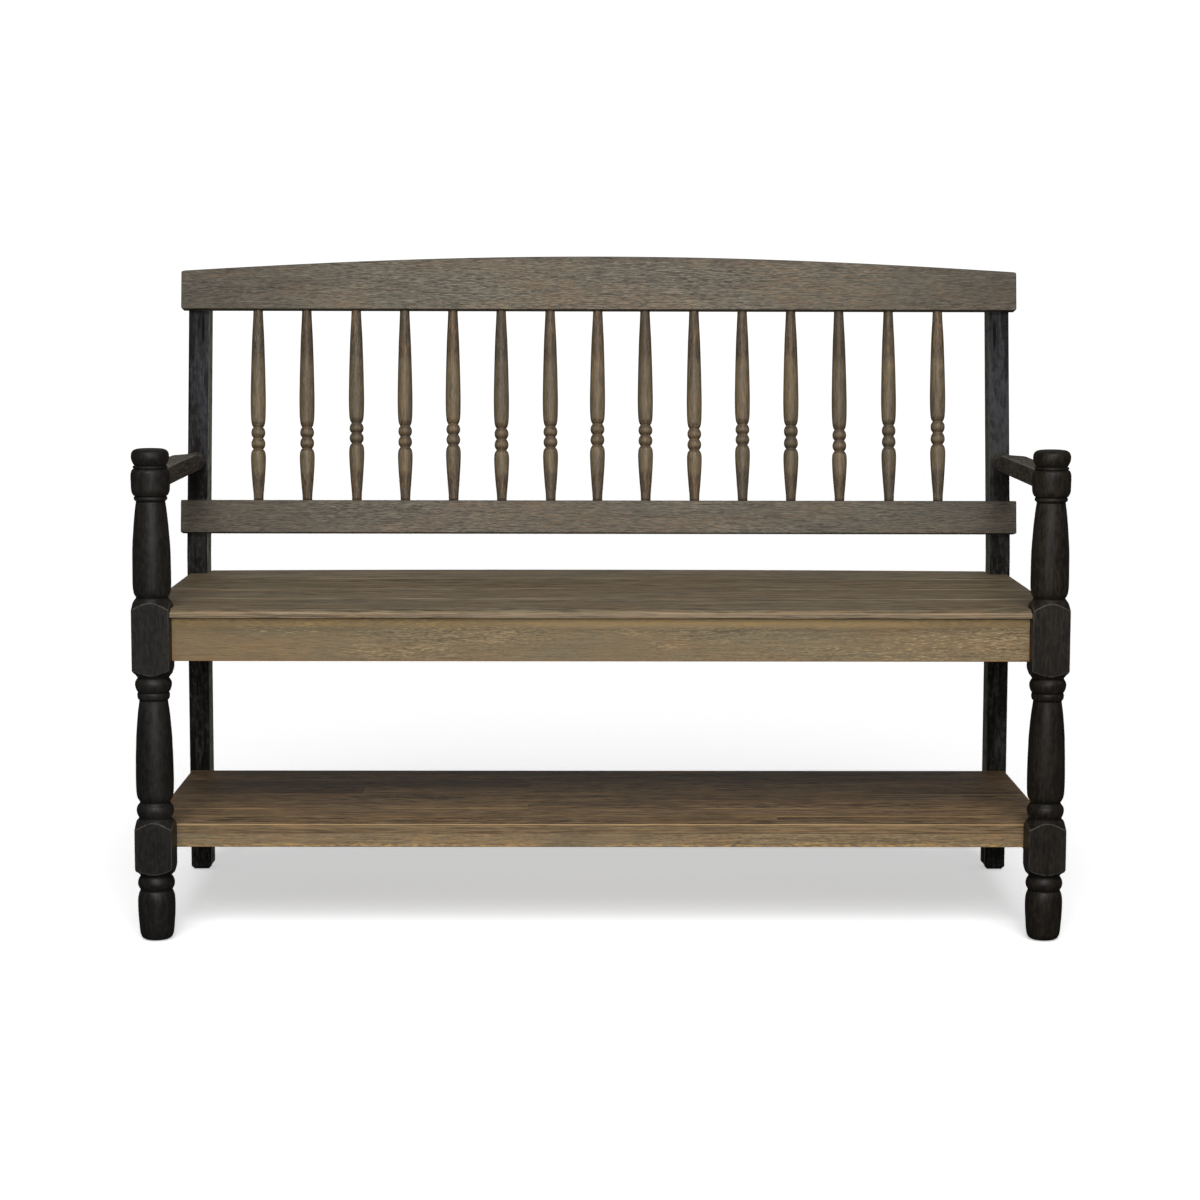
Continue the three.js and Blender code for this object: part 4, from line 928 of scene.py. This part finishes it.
# ------------------------------------------------------------------ arms
def arm_section(n=64):
    """Matched points: a rectangle with its own rounding at each corner, and a circle."""
    cx, cz = (ARM_X0 + ARM_X1) / 2, (ARM_Z0 + ARM_Z1) / 2
    # corners as (sign x, sign z, radius): outer top, inner top, inner bottom, outer bottom
    corners = [(1, 1, 6.0, 0), (-1, 1, 2.5, 90), (-1, -1, 3.0, 180), (1, -1, 6.0, 270)]
    rect = []
    w, h = (ARM_X1 - ARM_X0) / 2, (ARM_Z1 - ARM_Z0) / 2
    for i, (sx, sz, r, a0) in enumerate(corners):
        for k in range(7):
            a = math.radians(a0 + 90 * k / 6)
            rect.append((cx + sx * (w - r) + r * math.cos(a), cz + sz * (h - r) + r * math.sin(a)))
        nx = corners[(i + 1) % 4]
        e0 = rect[-1]
        a = math.radians(nx[3])
        e1 = (cx + nx[0] * (w - nx[2]) + nx[2] * math.cos(a), cz + nx[1] * (h - nx[2]) + nx[2] * math.sin(a))
        for k in range(1, 5):
            u = k / 5
            rect.append((e0[0] + (e1[0] - e0[0]) * u, e0[1] + (e1[1] - e0[1]) * u))
    rect = np.array(rect)
    ang = np.arctan2(rect[:, 1] - cz, rect[:, 0] - cx)
    rnd = np.stack([ARM_ROUND_X + ARM_ROUND_R * np.cos(ang), ARM_ROUND_Z + ARM_ROUND_R * np.sin(ang)], 1)
    return rect, rnd


def make_arm(side, sx, seed):
    rect, rnd = arm_section()
    barrel = catmull(LEG_TOP)
    ys = np.concatenate([[0.0, 0.5, 1.5, 4], np.linspace(12, 300, 14), np.linspace(315, 482, 40)])
    rows = []
    for y in ys:
        f = float(smooth(y, 350, 474))
        # the top face dips a little before it turns into the round
        q = rect * (1 - f) + rnd * f
        x, z = q[:, 0], q[:, 1]
        r_leg = np.interp(z, barrel[:, 0], barrel[:, 1])
        y_front = np.sqrt(np.maximum(r_leg**2 - (x - LEG_X) ** 2, 4.0)) - 0.2
        y_back = POST_FRONT + (z - KINK_Z) * math.tan(RAKE) - 0.2
        u = y / 482.0
        yy = y_front + (y_back - y_front) * u
        rows.append(np.stack([sx * (x + wobble(y, seed, 330, 0.15)), yy, z + wobble(y, seed + 1, 260, 0.2)], 1))
    rows = np.array(rows)
    if sx < 0:
        rows = rows[:, ::-1]
    verts, faces = tube(rows, cap0=(sx * LEG_X, 15, 626.5), cap1=(sx * ARM_ROUND_X, ARM_END_Y - 0.2, ARM_ROUND_Z))
    obj = build("arm_" + side + "_shaped", verts, faces)
    fix_normals(obj)
    me = obj.data
    plain_attrs(me)
    put(me, "grain", grain_of(mm(me), "y", (sx * 615, 240, 626)))
    p = mm(me)
    # painted sheen: the inner top edge near the front and the top face are painted paler as a highlight, more on the
    # left arm
    top_sheen = np.zeros(len(p))
    C = rows.shape[1]
    for i in range(len(p) - 2):
        j = i % C
        k = C - 1 - j if sx < 0 else j
        inner_top = 11 <= k <= 17
        y = ys[i // C]
        top_sheen[i] = (0.9 if inner_top and 12 <= k <= 15 else 0.0) * (1 - float(smooth(y, 330, 400)))
        if 3 <= k <= 13:
            top_sheen[i] = max(top_sheen[i], (0.45 if sx < 0 else 0.12) * (1 - 0.6 * float(smooth(y, 200, 460))))
    put(me, "wear_and_sheen", top_sheen)
    return seal(obj, ARM_BLACK, "arm_" + side)


make_arm("left", -1, 21)
make_arm("right", 1, 22)


# ------------------------------------------------------------------ back rails
def flat_rail_outline():
    r = 2.0
    return box_loop(-RAIL_HALF, RAIL_HALF, LOWER_S0, LOWER_S1, r, 4)


def rail_attrs(obj, s0, s1, offset, tone):
    me = obj.data
    p = mm(me)
    s = (p[:, 1] - POST_FRONT) * SIN + (p[:, 2] - KINK_Z) * COS
    t = (p[:, 1] - POST_FRONT) * COS - (p[:, 2] - KINK_Z) * SIN
    q = np.stack([p[:, 0], t - (RAIL_T0 + RAIL_T1) / 2, s - (s0 + s1) / 2], 1) * 0.001
    put(me, "grain", q[:, (2, 1, 0)] + offset)
    put(me, "bx", q * [1, 1, 1])
    put(me, "hf", np.tile([RAIL_HALF * 0.001, (RAIL_T1 - RAIL_T0) / 2 * 0.001, (s1 - s0) / 2 * 0.001], (len(p), 1)))
    put(me, "wear_and_sheen", np.zeros(len(p)))
    put(me, "groove_dark", np.zeros(len(p)))
    put(me, "tone", np.full(len(p), tone))


verts, faces = plate(flat_rail_outline(), RAIL_T0, RAIL_T1, 1.3, 1.3, lambda u, v, h: raked(u, h, v), 3)
lower = build("lower_back_rail_shaped", verts, faces)
fix_normals(lower)
rail_attrs(lower, LOWER_S0, LOWER_S1, (1.31, 0.52, 2.2), 0.30)
seal(lower, GREY, "lower_back_rail", sharp=40, weighted=True)


def crest_top(x):
    return (CREST_TOP_Z - CREST_A * x * x + CREST_B * x**4 - KINK_Z + RAIL_T0 * SIN) / COS


L = CREST_HALF
loop = []
for k in range(5):  # lower right corner
    a = math.radians(-90 + 90 * k / 4)
    loop.append((L - 3.5 + 3.5 * math.cos(a), CREST_S0 + 3.5 + 3.5 * math.sin(a)))
top_end = float(crest_top(L))
for k in range(4):
    a = math.radians(90 * k / 3)
    loop.append((L - 3.0 + 3.0 * math.cos(a), top_end - 3.0 + 3.0 * math.sin(a)))
for x in np.linspace(L - 8, -(L - 8), 96):
    loop.append((x, float(crest_top(x))))
for k in range(4):
    a = math.radians(90 + 90 * k / 3)
    loop.append((-L + 3.0 + 3.0 * math.cos(a), top_end - 3.0 + 3.0 * math.sin(a)))
for k in range(5):
    a = math.radians(180 + 90 * k / 4)
    loop.append((-L + 3.5 + 3.5 * math.cos(a), CREST_S0 + 3.5 + 3.5 * math.sin(a)))
for x in np.linspace(-L + 40, L - 40, 24):
    loop.append((x, CREST_S0))
verts, faces = plate(np.array(loop), RAIL_T0, RAIL_T1, 1.3, 1.3, lambda u, v, h: raked(u, h, v), 3)
crest = build("crest_rail_shaped", verts, faces)
fix_normals(crest)
rail_attrs(crest, CREST_S0, CREST_S0 + 80, (0.35, 1.9, 0.7), 0.52)
# the arris runs along the arch, so its distance is measured from the arch
me = crest.data
p = mm(me)
s = (p[:, 1] - POST_FRONT) * SIN + (p[:, 2] - KINK_Z) * COS
t = (p[:, 1] - POST_FRONT) * COS - (p[:, 2] - KINK_Z) * SIN
top = crest_top(p[:, 0])
v = (s - CREST_S0) / (top - CREST_S0)
put(me, "bx", np.stack([p[:, 0], t - 2.0, (v - 0.5) * 75], 1) * 0.001)
put(me, "hf", np.tile([CREST_HALF * 0.001, 0.011, 0.0375], (len(p), 1)))
seal(crest, GREY, "crest_rail", sharp=40, weighted=True)

# ------------------------------------------------------------------ spindles
# centre heights of the upper and lower bead of each spindle, left to right, as each was turned
BEADS = [(434.8, 446.0), (434.6, 445.2), (430.4, 439.9), (433.2, 443.8), (431.3, 441.5), (435.5, 446.6), (433.6, 443.8),
         (430.9, 441.5), (431.9, 442.2), (435.5, 446.2), (431.0, 441.0), (432.4, 444.7), (436.5, 447.1), (431.8, 443.1),
         (427.8, 440.0)]
SPINDLE = [
    (LOWER_S1 + 0.2, 7.3, 1), (92.4, 7.6), (104, 8.6), (116.7, 9.6), (127, 10.35), (137, 10.95), (148, 11.35), (154, 11.25),
    (159.3, 10.5), (162.2, 9.2), (164.3, 7.4, 1), (166.3, 8.7), (168.8, 10.0), (172.4, 10.55), (176.0, 10.0),
    (178.8, 8.7), (180.8, 7.4, 1), (182.6, 8.7), (185.0, 10.0), (188.6, 10.55), (192.2, 10.0), (194.9, 8.7), (196.9, 7.4, 1),
    (199.0, 8.9), (203.8, 10.25), (210, 10.95), (218, 11.3), (228, 11.5), (239.2, 11.55), (262, 11.15), (284.8, 10.65),
    (308, 9.95), (330.4, 9.2), (350, 8.2), (366.8, 7.4), (CREST_S0 - 0.2, 7.2, 1),
]
# how far the top of each spindle leans sideways from its foot
LEAN = (-2.6, -2.6, -2.4, -2.3, -2.1, -1.8, -1.5, 0.3, -1.2, -0.6, -0.4, 0.2, -0.4, -0.2, 0.5)
prof = catmull(SPINDLE, 0.9, 5.0)
N = 28
phi = np.linspace(0, 2 * math.pi, N, endpoint=False)
for i in range(15):
    cx = SPINDLE_X[i]
    up_d = (433.0 - BEADS[i][0]) * 1.51 / COS
    lo_d = (443.6 - BEADS[i][1]) * 1.51 / COS
    shift = np.interp(prof[:, 0], [84, 120, 164, 172.4, 188.6, 197, 245, 374], [0, lo_d * 0.7, lo_d, lo_d, up_d, up_d, up_d * 0.6, 0])
    fat = 1 + rng.uniform(-0.02, 0.02)
    rows = []
    bend = rng.uniform(-0.25, 0.25, 2)
    for (s, r), ds in zip(prof, shift):
        k = r * (1 + (fat - 1) * smooth(r, 7.3, 9))
        mid = math.sin(math.pi * (s - 84) / 290)
        x = cx + LEAN[i] * (s - 228) / 290 + bend[0] * mid
        rows.append(raked(x + k * np.cos(phi), SPINDLE_T + bend[1] * mid + k * np.sin(phi), s + ds))
    verts, faces = tube(np.array(rows), cap0=raked(cx - LEAN[i] * 0.5, SPINDLE_T, prof[0, 0]), cap1=raked(cx + LEAN[i] * 0.5, SPINDLE_T, prof[-1, 0]))
    name = "spindle_%02d" % (i + 1)
    obj = build(name + "_turned", verts, faces)
    fix_normals(obj)
    me = obj.data
    plain_attrs(me)
    rr = np.repeat(prof[:, 1], N)
    groove = np.concatenate([smooth(rr, 9.9, 10.6) * 0.35, [0, 0]])
    put(me, "wear_and_sheen", groove)
    p = mm(me)
    s = (p[:, 1] - POST_FRONT) * SIN + (p[:, 2] - KINK_Z) * COS
    t = (p[:, 1] - POST_FRONT) * COS - (p[:, 2] - KINK_Z) * SIN
    put(me, "grain", np.stack([p[:, 0] - cx, t, s], 1) * 0.001 + rng.uniform(-3, 3, 3))
    put(me, "tone", np.full(len(p), rng.uniform(0.3, 0.62)))
    seal(obj, SPIN, name)


# ------------------------------------------------------------------ boards
def staves(obj, edges, strengths, cuts, seed, x_step=80.0, groove=0.22, z_top=None, crown=None, tones=None, spread=0.2):
    """Splits a board into staves. edges: Y of the joints; strengths: how pale each joint is rubbed;
    cuts: for each stave the X of its butt joints."""
    r = np.random.default_rng(seed)
    inner = edges[1:-1]
    ys = sorted(set([e for e in inner] + [e - 0.9 for e in inner] + [e + 0.9 for e in inner] + [(a + b) / 2 for a, b in zip(edges[:-1], edges[1:])]))
    slice_mesh(obj, 1, ys)
    xs = sorted(set([c for row in cuts for c in row] + list(np.arange(-560, 561, x_step))))
    slice_mesh(obj, 0, xs)
    me = obj.data
    p = mm(me)
    on_top = p[:, 2] > z_top - 0.6
    dz = np.zeros(len(p))
    for e in inner:
        dz -= np.where(on_top & (np.abs(p[:, 1] - e) < 0.05), groove, 0)
    if crown is not None:
        dz += np.where(on_top, crown(p[:, 0], p[:, 1]), 0)
    co = coords(me)
    co[:, 2] += dz * 0.001
    me.vertices.foreach_set("co", co.astype(np.float32).ravel())
    me.update()
    n_loops = len(me.loops)
    vi = np.zeros(n_loops, np.int32)
    me.loops.foreach_get("vertex_index", vi)
    lp = p[vi]
    g = np.zeros((n_loops, 3))
    jd = np.zeros(n_loops)
    js = np.zeros(n_loops)
    tn = np.zeros(n_loops)
    section = {}
    for poly in me.polygons:
        li = np.arange(poly.loop_start, poly.loop_start + poly.loop_total)
        c = lp[li].mean(0)
        k = int(np.clip(np.searchsorted(edges, c[1]) - 1, 0, len(edges) - 2))
        row = [-1e4] + sorted(cuts[k]) + [1e4]
        m = int(np.searchsorted(row, c[0]) - 1)
        if (k, m) not in section:
            section[(k, m)] = (r.uniform(-3, 3, 3), float(np.clip(r.normal(0.5, spread), 0.05, 0.95)))
        off, tone = section[(k, m)]
        if tones is not None and (k, m) in tones:
            tone = tones[(k, m)]
        g[li] = np.stack([lp[li, 1], lp[li, 2], lp[li, 0]], 1) * 0.001 + off
        near_low = abs(c[1] - edges[k]) < abs(c[1] - edges[k + 1])
        j = k if near_low else k + 1
        jd[li] = np.abs(lp[li, 1] - edges[j]) * 0.001
        js[li] = strengths[j]
        tn[li] = tone
    put(me, "grain", g, "CORNER")
    put(me, "jd", jd, "CORNER")
    put(me, "js", js, "CORNER")
    put(me, "tone", tn, "CORNER")
    return p


def board_box(obj, p, lo, hi):
    me = obj.data
    lo, hi = np.array(lo, float), np.array(hi, float)
    put(me, "bx", (p - (lo + hi) / 2) * 0.001)
    put(me, "hf", np.tile((hi - lo) / 2 * 0.001, (len(p), 1)))
    put(me, "wear_and_sheen", np.zeros(len(p)))


# seat board
inner = LEG_X - LEG_HALF - GAP
p_inner = LEG_X - POST_HALF - GAP
front = [(x, SEAT_FRONT) for x in np.linspace(-inner, inner, 60)]
loop = front + [
    (inner, -8), (inner, 12), (inner, LEG_HALF + GAP), (inner + 3, LEG_HALF + GAP), (SEAT_HALF - 3, LEG_HALF + GAP), (SEAT_HALF, LEG_HALF + GAP + 3),
    (SEAT_HALF, 240), (SEAT_HALF, POST_FRONT - GAP - 3), (SEAT_HALF - 3, POST_FRONT - GAP), (p_inner + 3, POST_FRONT - GAP), (p_inner, POST_FRONT - GAP),
    (p_inner, POST_FRONT + 10), (p_inner, SEAT_BACK - 3), (p_inner - 3, SEAT_BACK), (0, SEAT_BACK),
    (-p_inner + 3, SEAT_BACK), (-p_inner, SEAT_BACK - 3), (-p_inner, POST_FRONT + 10), (-p_inner, POST_FRONT - GAP),
    (-p_inner - 3, POST_FRONT - GAP), (-SEAT_HALF + 3, POST_FRONT - GAP), (-SEAT_HALF, POST_FRONT - GAP - 3), (-SEAT_HALF, 240),
    (-SEAT_HALF, LEG_HALF + GAP + 3), (-SEAT_HALF + 3, LEG_HALF + GAP), (-inner - 3, LEG_HALF + GAP), (-inner, LEG_HALF + GAP), (-inner, 12), (-inner, -8),
]
nf = len(front)
n = len(loop)
r_top = np.full(n, 1.6)
r_bot = np.full(n, 1.2)
xs = np.array([q[0] for q in front])
r_top[:nf] = 6.0
r_bot[:nf] = 0.9 + wobble(xs, 6, 210, 0.2)
for k in (nf, n - 1):
    r_top[k] = r_bot[k] = 1.0
for k in range(nf + 1, nf + 4):
    r_top[k] = r_bot[k] = 0.5
    r_top[n - 1 - (k - nf)] = r_bot[n - 1 - (k - nf)] = 0.5
verts, faces = plate(np.array(loop), SEAT_TOP - SEAT_THICK, SEAT_TOP, r_bot, r_top, lambda u, v, h: np.stack([u, v, h], 1), 6)
# the nose is worn to a long slope on top
nose = (verts[:, 1] < SEAT_FRONT + 6.3) & (verts[:, 2] > SEAT_TOP - 6.01)
verts[nose, 1] = SEAT_FRONT + (verts[nose, 1] - SEAT_FRONT) * 2.2
verts[nose, 2] = SEAT_TOP - 6.0 + (verts[nose, 2] - SEAT_TOP + 6.0) * (0.80 + wobble(verts[nose, 0], 5, 300, 0.05))
seat = build("seat_board_shaped", verts, faces)
fix_normals(seat)
SEAT_EDGES = [SEAT_FRONT - 1, 47.0, 110.6, 173.0, 235.6, 306.0, 378.5, 444.0, SEAT_BACK + 1]
p = staves(seat, SEAT_EDGES, [0, 0.15, 0.9, 0.2, 0.75, 0.15, 0.65, 0.2, 0],
           [[], [], [], [], [], [], [], []], 11,
           z_top=SEAT_TOP, groove=0.12, spread=0.1,
           crown=lambda x, y: 1.9 * np.clip(1 - (x / 600) ** 2, 0, 1) * smooth(y, -10, 500))
board_box(seat, p, (-SEAT_HALF, SEAT_FRONT, SEAT_TOP - SEAT_THICK), (SEAT_HALF, SEAT_BACK, SEAT_TOP))
# the nosing is rubbed paler, and the pale band is laid along the middle of the nose as a painted highlight
put(seat.data, "wear_and_sheen", np.exp(-(((p[:, 2] - (SEAT_TOP - 6.0)) / 2.2) ** 2)) * (p[:, 1] < SEAT_FRONT + 2.5) * 0.85)
seal(seat, SEAT, "seat_board", sharp=45, weighted=True)

# shelf panel
loop = box_loop(-SHELF_HALF, SHELF_HALF, SHELF_FRONT, SHELF_BACK, 1.5, 3)
verts, faces = plate(loop, SHELF_TOP - SHELF_THICK, SHELF_TOP, 0.7, 1.1, lambda u, v, h: np.stack([u, v, h], 1), 3)
shelf = build("shelf_panel_shaped", verts, faces)
fix_normals(shelf)
SHELF_EDGES = [SHELF_FRONT - 1, 86.3, 142.9, 199.5, 256.1, 312.7, 369.3, 425.9, SHELF_BACK + 1]
p = staves(shelf, SHELF_EDGES, [0, 0.95, 0.95, 0.2, 0.8, 0.1, 0.15, 0.1, 0],
           [[246], [385], [-102.6], [], [-345, 400], [-102], [210], []], 12,
           z_top=SHELF_TOP, groove=0.2, spread=0.1,
           tones={(0, 0): 0.56, (0, 1): 0.50, (2, 0): 0.62, (2, 1): 0.38, (4, 0): 0.22, (4, 1): 0.66, (4, 2): 0.3, (5, 0): 0.2, (5, 1): 0.52, (6, 0): 0.34, (6, 1): 0.28, (7, 0): 0.25})
board_box(shelf, p, (-SHELF_HALF, SHELF_FRONT, SHELF_TOP - SHELF_THICK), (SHELF_HALF, SHELF_BACK, SHELF_TOP))
put(shelf.data, "wear_and_sheen", smooth(p[:, 1], SHELF_FRONT + 1.4, SHELF_FRONT + 0.5) * 0.35)
seal(shelf, SHELF, "shelf_panel", sharp=45, weighted=True)


# ------------------------------------------------------------------ aprons, rails and stretchers
def bar(name, node, lo, hi, along, material, r=1.1, tone=None, offset=None):
    """A straight bar or board with rounded arrises, drawn from its end and run along its grain."""
    lo, hi = np.array(lo, float), np.array(hi, float)
    ax = {"x": 0, "y": 1}[along]
    if along == "x":
        loop = box_loop(lo[1], hi[1], lo[2], hi[2], r, 3)
        place = lambda u, v, h: np.stack([h, u, v], 1)
    else:
        loop = box_loop(lo[0], hi[0], lo[2], hi[2], r, 3)
        place = lambda u, v, h: np.stack([u, h, v], 1)
    verts, faces = plate(loop, lo[ax], hi[ax], 0.5, 0.5, place, 2)
    obj = build(name, verts, faces)
    fix_normals(obj)
    boxed(obj, along, lo, hi, tone, offset)
    return seal(obj, material, node, sharp=45, weighted=True)


under = SEAT_TOP - SEAT_THICK - GAP
bar("front_apron_shaped", "front_apron", (-inner, APRON_FRONT, APRON_Z0), (inner, APRON_FRONT + APRON_THICK, under), "x", GOLD, 1.2, 0.5, (0.4, 2.1, 1.3))
bar("rear_apron_shaped", "rear_apron", (-p_inner, REAR_APRON_Y0, APRON_Z0), (p_inner, REAR_APRON_Y0 + APRON_THICK, under), "x", GOLD, 1.2)
shelf_under = SHELF_TOP - SHELF_THICK - GAP
x1 = SIDE_X0 - GAP
bar("shelf_front_rail_shaped", "shelf_front_rail", (-x1, SHELF_FRONT, SHELF_RAIL_Z0), (x1, SHELF_FRONT + 20, shelf_under), "x", RAIL, 0.9, 0.55)
bar("shelf_rear_rail_shaped", "shelf_rear_rail", (-x1, 438, SHELF_RAIL_Z0), (x1, 458, shelf_under), "x", RAIL, 0.9)
for side, sx in (("left", -1), ("right", 1)):
    a, b = sorted((sx * SIDE_X0, sx * SIDE_X1))
    bar("seat_side_apron_" + side + "_shaped", "seat_side_apron_" + side, (a, LEG_HALF + GAP, APRON_Z0), (b, POST_FRONT - GAP, under), "y", GOLD, 1.2)
    bar("shelf_side_stretcher_" + side + "_shaped", "shelf_side_stretcher_" + side, (a, LEG_HALF + GAP, STRETCHER_Z0), (b, POST_FRONT - GAP, shelf_under), "y", BLACK, 1.6)

# ------------------------------------------------------------------ carried-over solids
for n, o in nodes.items():
    if o.hide_render:
        continue
    if n.endswith("batten"):
        m = RAW_Y
    elif n.startswith("corner_brace"):
        m = RAW_X
    elif n.startswith("foot_glide"):
        m = PLASTIC
    else:
        m = ZINC
    o.data.materials.clear()
    o.data.materials.append(m)

# ------------------------------------------------------------------ floor, light, camera
scene = bpy.context.scene
me = bpy.data.meshes.new("floor")
me.from_pydata([(-9, -9, -0.0004), (9, -9, -0.0004), (9, 9, -0.0004), (-9, 9, -0.0004)], [], [(0, 1, 2, 3)])
floor = bpy.data.objects.new("floor", me)
scene.collection.objects.link(floor)
fm = bpy.data.materials.new("floor_white")
fm.use_nodes = True
b = fm.node_tree.nodes["Principled BSDF"]
b.inputs["Base Color"].default_value = (0.95, 0.95, 0.95, 1)
b.inputs["Roughness"].default_value = 1.0
b.inputs["Specular IOR Level"].default_value = 0.0
b.inputs["Emission Color"].default_value = (1, 1, 1, 1)
b.inputs["Emission Strength"].default_value = 0.49
me.materials.append(fm)
floor.visible_diffuse = False
floor.visible_glossy = False

world = bpy.data.worlds.new("studio")
scene.world = world
world.use_nodes = True
wt = world.node_tree
wt.nodes.clear()
wo = wt.nodes.new("ShaderNodeOutputWorld")
path = wt.nodes.new("ShaderNodeLightPath")
shader = None
for strength, ray in ((0.12, None), (0.06, "Is Glossy Ray"), (1.05, "Is Camera Ray")):
    n = wt.nodes.new("ShaderNodeBackground")
    n.inputs["Color"].default_value = (1, 1, 1, 1)
    n.inputs["Strength"].default_value = strength
    if shader is None:
        shader = n
    else:
        m = wt.nodes.new("ShaderNodeMixShader")
        wt.links.new(path.outputs[ray], m.inputs[0])
        wt.links.new(shader.outputs[0], m.inputs[1])
        wt.links.new(n.outputs[0], m.inputs[2])
        shader = m
wt.links.new(shader.outputs[0], wo.inputs[0])


def sun(name, elevation, azimuth, angle, strength):
    """azimuth 0 shines from the front of the bench towards its back."""
    d = bpy.data.lights.new(name, "SUN")
    d.energy = strength
    d.angle = math.radians(angle)
    o = bpy.data.objects.new(name, d)
    scene.collection.objects.link(o)
    o.matrix_world = Matrix.Rotation(math.radians(azimuth), 4, "Z") @ Matrix.Rotation(math.radians(90 - elevation), 4, "X")
    return o


def panel(name, where, target, w, h, power):
    d = bpy.data.lights.new(name, "AREA")
    d.shape = "RECTANGLE"
    d.size, d.size_y = w, h
    d.energy = power
    o = bpy.data.objects.new(name, d)
    scene.collection.objects.link(o)
    q = (Vector(target) - Vector(where)).to_track_quat("-Z", "Y")
    o.matrix_world = Matrix.Translation(where) @ q.to_matrix().to_4x4()
    o.visible_camera = False
    return o


panel("front", (0.03, -2.6, 1.0), (0.0, -0.27, 0.55), 1.45, 1.0, 25)
sun("top", 43, 0, 30, 1.85)
sun("back", 38, 180, 40, 0.10)

cam_data = bpy.data.cameras.new("camera")
cam_data.lens = 85.549
cam_data.sensor_width = 36.0
cam_data.clip_start, cam_data.clip_end = 0.1, 60
cam = bpy.data.objects.new("camera", cam_data)
scene.collection.objects.link(cam)
cam.matrix_world = (
    Matrix.Translation((-0.0300035, -4.114331, 0.896884))
    @ Matrix.Rotation(math.radians(-0.4217), 4, "Z")
    @ Matrix.Rotation(math.radians(90 - 6.3653), 4, "X")
    @ Matrix.Rotation(math.radians(0.115), 4, "Z")
)
scene.camera = cam
scene.view_settings.view_transform = "Standard"
scene.view_settings.look = "None"
scene.view_settings.exposure = 0
scene.view_settings.gamma = 1

bpy.context.view_layer.update()
